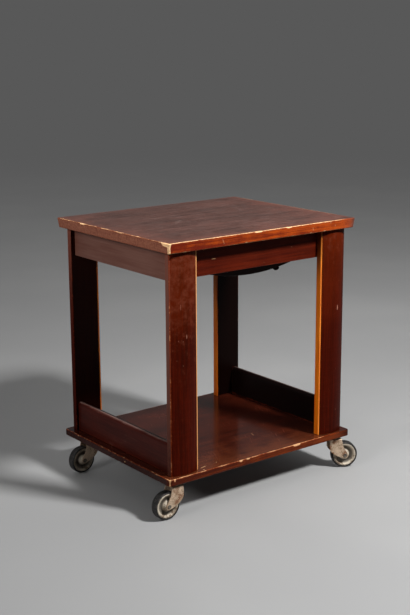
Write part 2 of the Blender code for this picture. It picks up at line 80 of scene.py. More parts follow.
# Sizes of the rings that close the faces of a slab, as shares of its outline
CAP_SHARES = (0.99, 0.975, 0.94, 0.85, 0.6, 0.3)
# How far wear reaches from an arris, the largest round that counts as one, and the gap of points that touch
ARRIS_REACH = 2.2 * MM
SMALL_ROUND = 5 * MM
TOUCHING = 0.001 * MM
# How ragged the outline of a nick is, and the share of it that shows in full
RAGGED = 1.6
NICK_CORE = 0.2
# Faint crossing scratches: angle to the grain in degrees, length and width in millimetres
SCRATCHES = ((9.0, 70, 1.7), (-24.0, 45, 1.5), (62.0, 38, 1.5))
# Ends and sides of the table, with the sign of y and of x there
ENDS = {"front": -1, "back": 1}
SIDES = {"left": -1, "right": 1}
CORNERS = tuple(f"{end}_{side}" for end in ENDS for side in SIDES)

Vec3 = tuple[float, float, float]
Socket = bpy.types.NodeSocket


class Axis(Enum):
    """The way a board's length and its grain run."""

    X = 0
    Y = 1
    Z = 2

    def lay(self, section: np.ndarray, along: np.ndarray) -> np.ndarray:
        """Points of a section carried along the axis.

        Args:
            section: the section's two coordinates, in the order x, y, z without the axis.
            along: the coordinate on the axis.

        Returns:
            Points with x, y and z in the last dimension.
        """
        columns = [section[..., 0], section[..., 1]]
        columns.insert(self.value, along)
        return np.stack(columns, axis=-1)

    def stretch(self, along: float, across: float) -> Vec3:
        """Sizes of a pattern that is long with the grain.

        Args:
            along: size with the grain.
            across: size across the grain.

        Returns:
            The size on x, y and z.
        """
        size = [across] * 3
        size[self.value] = along
        return (size[0], size[1], size[2])


@dataclass(frozen=True)
class Mark:
    """A nick, scratch, scuff or chip: a stretch where the stain is thin or gone.

    It runs from start to end and reaches its width to each side. Its strength says how plainly it shows,
    and its dent moves the surface. Lengths are in millimetres.
    """

    start: Vec3
    end: Vec3
    width: float
    strength: float
    dent: Vec3 = (0.0, 0.0, 0.0)


@dataclass(frozen=True)
class Bend:
    """An arc of an outline, with its centre, radius and the first and last angle of its normal."""

    a: float
    b: float
    radius: float
    start: float
    stop: float

    def ring(self, spacing: float) -> np.ndarray:
        """Unit normals along the arc.

        Args:
            spacing: largest distance between points.

        Returns:
            Array of (cos t, sin t) for t from the first to the last angle.
        """
        turn = math.radians(abs(self.stop - self.start))
        steps = max(BEND_STEPS, math.ceil(self.radius * turn / spacing))
        t = np.radians(np.linspace(self.start, self.stop, steps + 1))
        return np.stack([np.cos(t), np.sin(t)], axis=1)

    def points(self, ring: np.ndarray) -> np.ndarray:
        """Points of the arc: the centre plus the radius times each normal."""
        return np.array([self.a, self.b]) + self.radius * ring


@dataclass(frozen=True)
class Outline:
    """A closed loop of points with outward normals and the way along it to the nearest small round."""

    points: np.ndarray
    normals: np.ndarray
    corner_gap: np.ndarray

    @classmethod
    def through(cls, bends: list[Bend], spacing: float) -> "Outline":
        """Loop through arcs, with a straight run from each arc's end to the next arc's start.

        A run is (1 - s) * end + s * start for s between 0 and 1. Arcs that touch share their point.

        Args:
            bends: the arcs in counter-clockwise order.
            spacing: largest distance between points.

        Returns:
            The outline.
        """
        points, normals, small = [], [], []
        for bend, following in zip(bends, bends[1:] + bends[:1]):
            ring = bend.ring(spacing)
            arc = bend.points(ring)
            start = following.points(following.ring(spacing)[:1])
            run = float(np.linalg.norm(start - arc[-1]))
            if run < TOUCHING:
                ring, arc = ring[:-1], arc[:-1]
            runs = max(1, math.ceil(run / spacing))
            s = np.linspace(0.0, 1.0, runs + 1)[1:-1, None]
            points += [arc, arc[-1] * (1 - s) + start * s]
            normals += [ring, np.repeat(ring[-1:], len(s), axis=0)]
            small += [np.full(len(arc), bend.radius < SMALL_ROUND), np.full(len(s), False)]
        loop = np.concatenate(points)
        lengths = np.linalg.norm(np.roll(loop, -1, axis=0) - loop, axis=1)
        way = np.concatenate([[0.0], np.cumsum(lengths)[:-1]])
        gap = np.abs(way[:, None] - way[np.concatenate(small)][None])
        gap = np.minimum(gap, lengths.sum() - gap).min(axis=1, initial=lengths.sum())
        return cls(loop, np.concatenate(normals), gap)

    @classmethod
    def rectangle(cls, low: tuple, high: tuple, radii: tuple, spacing: float) -> "Outline":
        """Rectangle with a round at each corner.

        Args:
            low: lowest corner of the rectangle.
            high: highest corner of the rectangle.
            radii: round at the corners, from the highest corner counter-clockwise.
            spacing: largest distance between points.

        Returns:
            The outline.
        """
        ends = ((high[0], high[1]), (low[0], high[1]), (low[0], low[1]), (high[0], low[1]))
        inwards = ((-1, -1), (1, -1), (1, 1), (-1, 1))
        bends = []
        for quarter, (end, inward, radius) in enumerate(zip(ends, inwards, radii)):
            centre = (end[0] + inward[0] * radius, end[1] + inward[1] * radius)
            bends.append(Bend(*centre, radius, 90.0 * quarter, 90.0 * (quarter + 1)))
        return cls.through(bends, spacing)


@dataclass
class Surface:
    """A closed surface of quads and triangles, with the named values that its finish reads."""

    points: np.ndarray
    quads: np.ndarray
    triangles: np.ndarray
    values: dict[str, np.ndarray] = field(default_factory=dict)

    def turn_outwards(self) -> "Surface":
        """Turns the faces so that the signed volume, a sixth of the sum of a . (b x c), is positive.

        Returns:
            The surface itself.
        """
        split = np.concatenate([self.quads[:, [0, 1, 2]], self.quads[:, [0, 2, 3]], self.triangles])
        a, b, c = (self.points[split[:, k]] for k in range(3))
        if np.sum(a * np.cross(b, c)) < 0:
            self.quads = self.quads[:, ::-1]
            self.triangles = self.triangles[:, ::-1]
        return self

    def take_marks(self, marks: tuple[Mark, ...]) -> "Surface":
        """Writes how bare the marks leave each point, and moves the points by the marks' dents.

        Bareness falls in a straight line from the mark's stretch to twice its width.

        Args:
            marks: nicks, scratches and chips on this piece.

        Returns:
            The surface itself.
        """
        start = MM * np.array([mark.start for mark in marks])
        span = MM * np.array([mark.end for mark in marks]) - start
        away = self.points[:, None] - start
        t = np.clip((away * span).sum(axis=2) / ((span ** 2).sum(axis=1) + TOUCHING ** 2), 0.0, 1.0)
        gap = np.linalg.norm(away - t[..., None] * span, axis=2)
        near = np.clip(1 - gap / (2 * MM * np.array([mark.width for mark in marks])), 0.0, 1.0)
        self.values["bare"] = (near * np.array([mark.strength for mark in marks])).max(axis=1)
        self.points = self.points + near @ (MM * np.array([mark.dent for mark in marks]))
        return self

    def stain_corner(self, x: float, y: float, reach: float, share: float) -> None:
        """Leaves a corner dark: edge tone, wear and rubbing drop there by share * exp(-distance / reach).

        Args:
            x: place of the corner on x.
            y: place of the corner on y.
            reach: distance over which the stain thins out.
            share: drop at the corner itself.
        """
        gap = np.hypot(self.points[:, 0] - x, self.points[:, 1] - y)
        for key in ("side", "arris", "rubbed"):
            self.values[key] *= 1 - share * np.exp(-gap / reach)


def grid_faces(rows: int, columns: int, closed_rows: bool) -> np.ndarray:
    """Quads of a grid of points that closes on itself along its columns.

    Args:
        rows: count of rings.
        columns: count of points in each ring.
        closed_rows: whether the last ring joins the first.

    Returns:
        Array of quads.
    """
    last = rows if closed_rows else rows - 1
    i, j = np.meshgrid(np.arange(last), np.arange(columns), indexing="ij")
    below, beside = (i + 1) % rows, (j + 1) % columns
    corners = (i * columns + j, i * columns + beside, below * columns + beside, below * columns + j)
    return np.stack(corners, axis=-1).reshape(-1, 4)


def ripple(way: np.ndarray, waves: tuple[int, ...], seed: int) -> np.ndarray:
    """Smooth unevenness round a loop: a sum of sines with seeded phases, between -1 and 1.

    Args:
        way: place round the loop, from 0 to 1.
        waves: count of waves of each sine.
        seed: seed of the phases.

    Returns:
        One value for each place.
    """
    phases = np.random.default_rng(seed).uniform(0.0, 2 * math.pi, len(waves))
    angles = 2 * math.pi * np.outer(way, waves) + phases
    return np.sin(angles).mean(axis=1)


def rounded_prism(outline: Outline, axis: Axis, low: float, high: float, low_arris: np.ndarray | float,
                  high_arris: np.ndarray | float, spacing: float, lean: float = 0.0,
                  cap_shares: tuple[float, ...] = (0.5,)) -> Surface:
    """Board with an outline as its section and rounded arrises at both ends.

    Ring k is the outline drawn in by inset d(k) along its normals at height w(k). On an arris of radius
    r, d = r (1 - cos t) and w = end - r (1 - sin t) for t up to a quarter turn. A lean scales the ring
    about the outline's middle. The ends are closed by rings drawn in to shares of the last one about
    that middle, and by one point there.

    Args:
        outline: section of the board.
        axis: way that the board runs.
        low: lower end on the axis.
        high: upper end on the axis.
        low_arris: radius at the lower end, one value or one for each outline point.
        high_arris: radius at the upper end.
        spacing: distance between rings along the board.
        lean: how far the section draws in from the upper to the lower end.
        cap_shares: sizes of the rings that close the ends.

    Returns:
        The surface, with "arris" as the closeness to an arris and "side" as 1 off the end faces.
    """
    count = len(outline.points)
    quarter = np.linspace(0.0, math.pi / 2, ARRIS_STEPS + 1)[:, None]
    low_r = np.broadcast_to(np.asarray(low_arris, float), count)
    high_r = np.broadcast_to(np.asarray(high_arris, float), count)
    steps = max(BOARD_STEPS, math.ceil((high - low) / spacing))
    share = np.linspace(0.0, 1.0, steps + 1)[1:-1, None]
    heights = np.concatenate([
        low + low_r * (1 - np.cos(quarter)),
        (low + low_r) * (1 - share) + (high - high_r) * share,
        high - high_r * (1 - np.sin(quarter)),
    ])
    insets = np.concatenate([
        low_r * (1 - np.sin(quarter)),
        np.zeros((steps - 1, count)),
        high_r * (1 - np.cos(quarter)),
    ])
    middle = (outline.points.min(axis=0) + outline.points.max(axis=0)) / 2
    reach = (outline.points.max(axis=0) - outline.points.min(axis=0)) / 2
    shrink = 1 - lean * (high - heights)[..., None] / (high - low) / reach
    section = middle + (outline.points - outline.normals * insets[..., None] - middle) * shrink
    shares = np.array(cap_shares)[:, None, None]
    low_cap = (middle + (section[0] - middle) * shares)[::-1]
    high_cap = middle + (section[-1] - middle) * shares
    section = np.concatenate([low_cap, section, high_cap])
    caps = len(cap_shares)
    drawn_in = (1 - np.array(cap_shares))[:, None] * float(reach.min())
    drawn_in = np.concatenate([drawn_in[::-1], np.zeros((len(heights), 1)), drawn_in])
    heights = np.pad(heights, ((caps, caps), (0, 0)), mode="edge")
    rows = len(heights)
    end_gap = np.where(drawn_in > 0, drawn_in, np.minimum(heights - low, high - heights))
    arris = np.exp(-np.minimum(end_gap, outline.corner_gap + drawn_in) / ARRIS_REACH)
    side = np.where(drawn_in > 0, 0.0, np.ones_like(heights))
    points = axis.lay(section, heights).reshape(-1, 3)
    poles = axis.lay(np.stack([middle, middle]), np.array([heights[0].mean(), heights[-1].mean()]))
    ring = np.arange(count)
    following = np.roll(ring, -1)
    first, last = rows * count, (rows - 1) * count
    fans = np.concatenate([
        np.stack([np.full(count, first), following, ring], axis=1),
        np.stack([np.full(count, first + 1), last + ring, last + following], axis=1),
    ])
    surface = Surface(np.concatenate([points, poles]), grid_faces(rows, count, False), fans)
    surface.values["arris"] = np.concatenate([arris.ravel(), [0.0, 0.0]])
    surface.values["side"] = np.concatenate([side.ravel(), [0.0, 0.0]])
    return surface.turn_outwards()


def eased_loop(corners: list[tuple[float, float]], radius: float) -> np.ndarray:
    """Closed profile with its corners cut at a distance and then smoothed.

    Each corner becomes two points at most radius away on its edges. Two rounds of corner cutting follow,
    where each edge from p to q keeps 3/4 p + 1/4 q and 1/4 p + 3/4 q.

    Args:
        corners: the profile's corners in order.
        radius: distance of the cut from a corner.

    Returns:
        Array of the profile's points.
    """
    loop = np.array(corners)
    ahead = np.roll(loop, -1, axis=0) - loop
    length = np.linalg.norm(ahead, axis=1, keepdims=True)
    cut = np.minimum(radius, length / 3) / length
    loop = np.stack([loop + ahead * cut, loop + ahead * (1 - cut)], axis=1).reshape(-1, 2)
    for _ in range(2):
        ahead = np.roll(loop, -1, axis=0) - loop
        loop = np.stack([loop + ahead / 4, loop + ahead * 3 / 4], axis=1).reshape(-1, 2)
    return loop


def turned_ring(profile: np.ndarray, centre: np.ndarray, axle: np.ndarray, segments: int) -> Surface:
    """Ring-shaped solid: a closed profile carried round an axle.

    A point is centre + h * axle + r * (cos t * up + sin t * side) for radius r and place h on the axle.

    Args:
        profile: radius and place on the axle of each profile point.
        centre: middle of the wheel.
        axle: unit vector along the axle, level with the floor.
        segments: count of steps round the axle.

    Returns:
        The surface.
    """
    t = np.linspace(0.0, 2 * math.pi, segments, endpoint=False)
    up = np.array([0.0, 0.0, 1.0])
    round_it = np.cos(t)[:, None] * up + np.sin(t)[:, None] * np.cross(axle, up)
    points = centre + profile[:, 1, None] * axle + profile[:, 0, None] * round_it[:, None]
    faces = grid_faces(segments, len(profile), True)
    return Surface(points.reshape(-1, 3), faces, np.zeros((0, 3), int)).turn_outwards()


def linear(hex_code: str) -> tuple[float, float, float, float]:
    """Linear colour of an sRGB hex value.

    Args:
        hex_code: the value, such as #a05020.

    Returns:
        Linear red, green and blue, and an opacity of 1.
    """
    channels = np.array([int(hex_code[k:k + 2], 16) for k in (1, 3, 5)]) / 255
    bright = np.where(channels <= 0.04045, channels / 12.92, ((channels + 0.055) / 1.055) ** 2.4)
    return (*bright.tolist(), 1.0)


def add_node(tree: bpy.types.NodeTree, kind: str, links: dict | None = None, output: int | str = 0,
             **settings: object) -> Socket:
    """Adds one shader node with its settings and links.

    Args:
        tree: node tree that takes the node.
        kind: Blender's name of the node type without its ShaderNode.
        links: a hex colour, a value or an output socket for each input, by the input's name or number.
        output: name or number of the output that is handed back.
        settings: properties of the node.

    Returns:
        The chosen output socket.
    """
    node = tree.nodes.new(f"ShaderNode{kind}")
    for key, value in settings.items():
        setattr(node, key, value)
    for key, value in (links or {}).items():
        if isinstance(value, Socket):
            tree.links.new(value, node.inputs[key])
        else:
            node.inputs[key].default_value = linear(value) if isinstance(value, str) else value
    return node.outputs[output]


def seen_rays(tree: bpy.types.NodeTree) -> Socket:
    """Share that is 1 for rays of the camera, of gloss and of glass, and 0 for light that bounces.

    Args:
        tree: node tree that takes the nodes.

    Returns:
        Socket with the share.
    """
    seen: Socket | float = 0.0
    for ray in ("Is Camera Ray", "Is Glossy Ray", "Is Transmission Ray"):
        path = add_node(tree, "LightPath", output=ray)
        seen = add_node(tree, "Math", {0: path, 1: seen}, operation="MAXIMUM")
    return seen


@dataclass(frozen=True)
class Layer:
    """A colour over others: it starts where its mask is low, is full where it is high, and covers a share."""

    colour: Socket | str
    mask: Socket
    low: float
    high: float
    cover: float = 1.0


class Skin:
    """A material in the making: its nodes, its shader and the place of each point of the piece."""

    def __init__(self, name: str) -> None:
        """Starts a material with its shader and Object coordinates.

        Args:
            name: name of the material.
        """
        self.material = bpy.data.materials.new(name)
        self.material.use_nodes = True
        self.tree = self.material.node_tree
        self.shader = self.tree.nodes["Principled BSDF"]
        self.place = add_node(self.tree, "TexCoord", output="Object")

    def patterned(self, size: Vec3 | float, detail: float, turn: Vec3 = (0.0, 0.0, 0.0),
                  rough: float = 0.55) -> Socket:
        """Uneven pattern whose lumps have a real size.

        Args:
            size: lump size in millimetres, one number or one each for x, y and z.
            detail: count of finer octaves.
            turn: turn of the pattern about x, y and z in degrees.
            rough: weight of the finer octaves.

        Returns:
            Socket with values around a half.
        """
        lump = tuple(MM * part for part in np.broadcast_to(size, 3).tolist())
        angles = tuple(math.radians(angle) for angle in turn)
        spot = add_node(self.tree, "Mapping", {"Vector": self.place, "Rotation": angles, "Scale": lump},
                        vector_type="TEXTURE")
        noise = {"Vector": spot, "Scale": 1.0, "Detail": detail, "Roughness": rough}
        return add_node(self.tree, "TexNoise", noise)

    def weighted(self, parts: list[tuple[Socket, float]], offset: float = 0.0) -> Socket:
        """Sum of patterns, each times its weight, and an offset.

        Args:
            parts: patterns with their weights.
            offset: number that the sum starts from.

        Returns:
            Socket with the sum.
        """
        total: Socket | float = offset
        for part, weight in parts:
            total = add_node(self.tree, "Math", {0: part, 1: weight, 2: total}, operation="MULTIPLY_ADD")
        return total

    def layered(self, colour: Socket | str, layers: list[Layer]) -> tuple[Socket, Socket]:
        """Lays colours over one another in order, each as far as its mask rises smoothly.

        Args:
            colour: colour at the bottom, a hex value or a socket.
            layers: colours on top.

        Returns:
            Sockets with the colour and with the share of the last layer.
        """
        share = None
        for layer in layers:
            span = {"Value": layer.mask, "From Min": layer.low, "From Max": layer.high, "To Max": layer.cover}
            share = add_node(self.tree, "MapRange", span, interpolation_type="SMOOTHSTEP")
            colour = add_node(self.tree, "Mix", {0: share, 6: colour, 7: layer.colour}, 2, data_type="RGBA")
        return colour, share

    def nicked(self, nicks: tuple[Mark, ...], rag: Socket) -> Socket:
        """Share of a surface that nicks and scratches take up.

        A nick is lens-shaped. For a point off its middle by o, with half its length as the vector h, s is
        o . h / |h|^2 and g is |o - s h|, so that s^2 + (g / width)^2 is 1 on its outline. A pattern is
        added to that, so that the outline is ragged. The share falls from the strength inside to 0 outside.

        Args:
            nicks: the nicks and scratches.
            rag: pattern around a half.

        Returns:
            Socket with the largest share.
        """
        tree = self.tree
        total: Socket | float = 0.0
        for nick in nicks:
            start, end = MM * Vector(nick.start), MM * Vector(nick.end)
            half, middle = (end - start) / 2, (end + start) / 2
            off = add_node(tree, "VectorMath", {0: self.place, 1: middle}, operation="SUBTRACT")
            s = add_node(tree, "VectorMath", {0: off, 1: half / half.length_squared}, "Value",
                         operation="DOT_PRODUCT")
            near = add_node(tree, "VectorMath", {0: half, "Scale": s}, operation="SCALE")
            gap = add_node(tree, "VectorMath", {0: off, 1: near}, "Value", operation="DISTANCE")
            along = add_node(tree, "Math", {0: s, 1: s}, operation="MULTIPLY")
            across = add_node(tree, "Math", {0: gap, 1: gap}, operation="MULTIPLY")
            parts = [(along, 1.0), (across, (MM * nick.width) ** -2), (rag, RAGGED)]
            outline = self.weighted(parts, -RAGGED / 2)
            fall = {"Value": outline, "From Min": 1.0, "From Max": NICK_CORE, "To Max": nick.strength}
            share = add_node(tree, "MapRange", fall, interpolation_type="SMOOTHSTEP")
            total = add_node(tree, "Math", {0: share, 1: total}, operation="MAXIMUM")
        return total

    def closed(self, colour: Socket, roughness: Socket, height: Socket, depth: float,
               **uniform: float) -> bpy.types.Material:
        """Links colour, roughness and bump to the shader.

        Args:
            colour: base colour.
            roughness: roughness.
            height: height of the bump, where 1 is its full depth.
            depth: depth of the bump in metres.
            uniform: values of shader sockets that are the same all over, with _ for spaces.

        Returns:
            The material.
        """
        bump = add_node(self.tree, "Bump", {"Height": height, "Distance": depth, "Strength": 1.0})
        self.tree.links.new(colour, self.shader.inputs["Base Color"])
        self.tree.links.new(roughness, self.shader.inputs["Roughness"])
        self.tree.links.new(bump, self.shader.inputs["Normal"])
        for key, value in uniform.items():
            self.shader.inputs[key.replace("_", " ")].default_value = value
        return self.material


@dataclass(frozen=True)
class VarnishedMahogany:
    """Mahogany-stained hardwood under old varnish.

    The eye sees dark reddish brown with fine long streaks, a satin gloss that scuffs have dulled, a thinner
    orange stain near the arrises and pale bare wood where the arrises and nicks are worn through. The
    piece's own values say where its edges, end grain, outer and inner faces, rubbed margins and chips are.
    A clear coat lies only on faces that point up.
    """

    name: str
    grain: Axis
    dark: str = "#360b04"
    light: str = "#541809"
    thin: str = "#7e3212"
    bare: str = "#e4b080"
    fibre: str = "#b47a48"
    scuff: str = "#7a4a3a"
    mark: str = "#a8705c"
    edge_dark: str = "#701c04"
    edge_light: str = "#be4e10"
    edge_share: float = 0.0
    end_dark: str = "#7c4434"
    end_light: str = "#a0664e"
    # outer: painted light, the lighter tone of outer edge faces
    outer: str = "#7d4e42"
    rubbed: str = "#7c4436"
    rubbed_share: float = 0.0
    # inner: painted shade, the near-black tone of inner faces
    inner: str = "#0e0403"
    cloud: Vec3 | float = 12
    roughness: float = 0.36
    scuffing: float = 0.12
    mottle: float = 0.0
    dust: float = 0.0
    ripple: float = 0.0
    faded: float = 0.0
    wear: float = 1.0
    gloss: float = 0.06
    coat: float = 0.0
    coat_roughness: float = 0.14
    relief: float = 0.12 * MM
    nicks: tuple[Mark, ...] = ()
    scuffs: tuple[Mark, ...] = ()

    def make(self) -> bpy.types.Material:
        """Builds the material.

        Returns:
            The material.
        """
        skin = Skin(self.name)
        side, end, inner, outer, rubbed, arris, chipped, clouded = (
            add_node(skin.tree, "Attribute", output="Fac", attribute_name=key)
            for key in ("side", "end", "inner", "outer", "rubbed", "arris", "bare", "clouded"))
        height, along = (add_node(skin.tree, "SeparateXYZ", {0: skin.place}, key) for key in "ZX")
        # Streaks are drawn about 3 mm wide where real ones are under 1 mm, so that they show
        grain = skin.patterned(self.grain.stretch(95, 3.2), 4.0)
        figure = skin.patterned(self.grain.stretch(280, 24), 2.0)
        blotch = skin.patterned(85, 3.0)
        fine = skin.patterned(4.5, 4.0, rough=0.65)
        patchy = skin.patterned(30, 2.0)
        grit = skin.patterned(1.8, 2.0)
        waves = skin.patterned(self.grain.stretch(5, 45), 2.0)
        pores = skin.patterned(self.grain.stretch(18, 1.4), 1.0)
        cloudy = skin.patterned(self.cloud, 5.0, rough=0.65)
        streaks = [(grain, 0.45), (figure, 0.3), (blotch, 0.25 - self.ripple), (waves, self.ripple)]
        layers = [Layer(self.light, skin.weighted(streaks), 0.36, 0.64)]
        if self.faded > 0:
            faded = skin.weighted([(height, 1.0), (blotch, 0.2)], -0.1)
            layers.append(Layer(self.thin, faded, 0.30, 0.58, self.faded))
            cloudy = skin.weighted([(cloudy, 1.2), (height, 1.4), (clouded, 0.3)], -1.0)
        margin = [(rubbed, 1.0), (grain, 1.2), (fine, 0.5), (patchy, 0.7), (blotch, 0.6)]
        layers += [
            Layer(self.dark, pores, 0.62, 0.74, 0.45),
            Layer(self.scuff, cloudy, 0.38, 0.86, self.mottle),
            Layer(self.rubbed, skin.weighted(margin, -1.5), 0.1, 1.0, self.rubbed_share),
            Layer(self.scuff, skin.weighted([(grit, 0.6), (fine, 0.4)]), 0.42, 0.7, self.dust),
        ]
        colour, scratched = skin.layered(self.dark, layers + self.scratches(skin))
        if self.edge_share > 0:
            fibres = skin.weighted([(fine, 0.6), (grit, 0.4)])
            ends, _ = skin.layered(self.end_dark, [Layer(self.end_light, fibres, 0.38, 0.62)])
            plies = skin.weighted([(grain, 0.5), (patchy, 0.25), (grit, 0.25), (along, 0.32)])
            edge, _ = skin.layered(self.edge_dark, [
                Layer(self.edge_light, plies, 0.38, 0.64),
                Layer(ends, end, 0.2, 0.8),
            ])
            colour, _ = skin.layered(colour, [Layer(edge, side, 0.0, 1.0, self.edge_share)])
        # Stain thins out and then bare wood shows where arrises and chips are worn
        worn = skin.weighted([(fine, 0.9), (patchy, 0.7), (arris, self.wear), (chipped, 1.35)], -0.8)
        torn = skin.weighted([(grain, 0.4), (fine, 0.6)])
        raw, _ = skin.layered(self.bare, [Layer(self.fibre, torn, 0.46, 0.72, 0.6)])
        # Painted light: outer edge faces grow lighter, most towards the top
        painted_side_light = skin.weighted([(outer, 1.0), (height, 1.6), (fine, 0.4)], -0.9)
        colour, bare = skin.layered(colour, [
            Layer(self.outer, painted_side_light, 0.2, 0.8, 0.9),
            # Painted shade: inner faces turn near black
            Layer(self.inner, inner, 0.2, 0.8),
            Layer(self.thin, worn, 0.30, 0.80, 0.85),
            Layer(raw, worn, 0.74, 0.98),
        ])
        marked = ((self.mark, self.scuffs), (self.bare, self.nicks))
        colour, _ = skin.layered(colour, [
            Layer(shown, skin.nicked(marks, grit), 0.0, 1.0) for shown, marks in marked if marks
        ])
        roughness = skin.weighted([(blotch, 0.16), (scratched, 0.25), (bare, 0.25)], self.roughness - 0.08)
        relief = skin.weighted([(bare, -0.6), (grain, 0.4)])
        if self.coat > 0:
            facing = add_node(skin.tree, "NewGeometry", output="Normal")
            upward = add_node(skin.tree, "SeparateXYZ", {0: facing}, "Z")
            span = {"Value": upward, "From Min": 0.6, "From Max": 0.95, "To Max": self.coat}
            skin.tree.links.new(add_node(skin.tree, "MapRange", span), skin.shader.inputs["Coat Weight"])
        return skin.closed(colour, roughness, relief, self.relief, Specular_IOR_Level=self.gloss,
                           Coat_Roughness=self.coat_roughness)

    def scratches(self, skin: Skin) -> list[Layer]:
        """Faint crossing scratches in the varnish.

        Args:
            skin: the material in the making.

        Returns:
            One layer for each way that scratches run.
        """
        turns = {Axis.X: (0.0, 0.0, 1.0), Axis.Y: (1.0, 0.0, 0.0), Axis.Z: (0.0, 1.0, 0.0)}[self.grain]
        layers = []
        for angle, length, width in SCRATCHES:
            turn = tuple(angle * part for part in turns)
            lines = skin.patterned(self.grain.stretch(length, width), 1.0, turn)
            layers.append(Layer(self.scuff, lines, 0.66, 0.76, self.scuffing))
        return layers


@dataclass(frozen=True)
class VarnishedMaple:
    """Maple strip under amber varnish: deep orange, pale honey on the rubbed front edge, painted shade high
    up and on the back right leg, and a painted highlight on the near leg's front edge.
    """

    name: str = "maple_lipping_amber_varnish"
    pale: str = "#ff8a12"
    deep: str = "#ea6a08"
    rubbed: str = "#f6b272"
    # stain: the colour of painted shade on the lipping
    stain: str = "#4c1c08"
    nick: str = "#5a2a10"
    roughness: float = 0.32
    relief: float = 0.05 * MM
    gloss: float = 0.25

    def make(self) -> bpy.types.Material:
        """Builds the material.

        Returns:
            The material.
        """
        skin = Skin(self.name)
        front, back_right_shade = (add_node(skin.tree, "Attribute", output="Fac", attribute_name=key)
                         for key in ("front", "back_right_shade"))
        height = add_node(skin.tree, "SeparateXYZ", {0: skin.place}, "Z")
        grain = skin.patterned(Axis.Z.stretch(60, 1.8), 3.0)
        blotch = skin.patterned(Axis.Z.stretch(70, 12), 2.0)
        nicks = skin.patterned((3, 3, 9), 2.0)
        tone = skin.weighted([(blotch, 0.6), (grain, 0.4)])
        edge = skin.weighted([(front, 1.0), (grain, 0.3)], -0.15)
        # Painted shade: the lipping darkens towards its top
        stained = skin.weighted([(height, 1.0), (front, -0.2), (blotch, 0.08)], -0.04)
        colour, _ = skin.layered(self.deep, [
            Layer(self.pale, tone, 0.34, 0.66),
            Layer(self.rubbed, edge, 0.1, 0.9),
            Layer(self.stain, stained, 0.42, 0.51, 0.85),
            Layer(self.nick, nicks, 0.68, 0.76, 0.7),
            # Painted shade on the back right leg's lipping
            Layer(self.stain, back_right_shade, 0.0, 1.0, 0.5),
        ])
        roughness = skin.weighted([(blotch, 0.12)], self.roughness)
        return skin.closed(colour, roughness, grain, self.relief, Specular_IOR_Level=self.gloss)


@dataclass(frozen=True)
class SawnSoftwood:
    """Sawn pine without finish: pale, dry and striped by its rings."""

    name: str = "pine_glue_block_sawn"
    early: str = "#c79b66"
    late: str = "#9a6c3c"
    roughness: float = 0.65
    relief: float = 0.2 * MM

    def make(self) -> bpy.types.Material:
        """Builds the material.

        Returns:
            The material.
        """
        skin = Skin(self.name)
        rings = skin.patterned(Axis.Z.stretch(80, 4.0), 3.0)
        saw = skin.patterned((20, 20, 1.2), 1.0)
        colour, _ = skin.layered(self.early, [Layer(self.late, rings, 0.4, 0.62)])
        return skin.closed(colour, skin.weighted([(saw, 0.2)], self.roughness), saw, self.relief)


@dataclass(frozen=True)
class DulledSteel:
    """Pressed or turned steel whose plating has gone dull.

    The eye sees a soft cream-grey metal with brownish patches where the plating is worn, fine pits, and
    dark grease and painted shade in its hollows.
    """

    name: str
    bright: str
    dull: str
    rust: str = "#86593e"
    rust_share: float = 0.7
    grease_and_shade: str = "#241b14"
    grease_and_shade_share: float = 0.9
    patch: float = 18
    roughness: float = 0.42
    metallic: float = 0.35
    relief: float = 0.12 * MM

    def make(self) -> bpy.types.Material:
        """Builds the material.

        Returns:
            The material.
        """
        skin = Skin(self.name)
        grime_and_shade = add_node(skin.tree, "Attribute", output="Fac", attribute_name="grime_and_shade")
        cloud = skin.patterned(self.patch, 3.0)
        specks = skin.patterned(2.2, 3.0, rough=0.7)
        tone = skin.weighted([(cloud, 0.5), (specks, 0.5)])
        patches = skin.weighted([(specks, -0.35), (cloud, -0.65)], 1.0)
        colour, rusty = skin.layered(self.dull, [
            Layer(self.bright, tone, 0.38, 0.62),
            Layer(self.rust, patches, 0.50, 0.60, self.rust_share),
        ])
        greasy_and_shaded = skin.weighted([(grime_and_shade, 1.0), (specks, 0.5)], -0.25)
        colour, _ = skin.layered(colour, [Layer(self.grease_and_shade, greasy_and_shaded, 0.3, 1.0, self.grease_and_shade_share)])
        roughness = skin.weighted([(rusty, 0.3), (specks, 0.2)], self.roughness - 0.1)
        return skin.closed(colour, roughness, specks, self.relief, Metallic=self.metallic)


@dataclass(frozen=True)
class MouldedRubber:
    """Moulded black rubber, dusty and grey on the tread, with a faint mould bloom."""

    name: str = "rubber_tyre_moulded_dusty"
    black: str = "#121110"
    dusty: str = "#766c66"
    roughness: float = 0.5
    relief: float = 0.2 * MM

    def make(self) -> bpy.types.Material:
        """Builds the material.

        Returns:
            The material.
        """
        skin = Skin(self.name)
        dust = skin.patterned(7, 4.0, rough=0.65)
        grit = skin.patterned(1.8, 2.0)
        bloom = skin.weighted([(dust, 0.5), (grit, 0.5)])
        colour, _ = skin.layered(self.black, [Layer(self.dusty, bloom, 0.46, 0.72, 0.7)])
        return skin.closed(colour, skin.weighted([(dust, 0.2)], self.roughness), grit, self.relief)


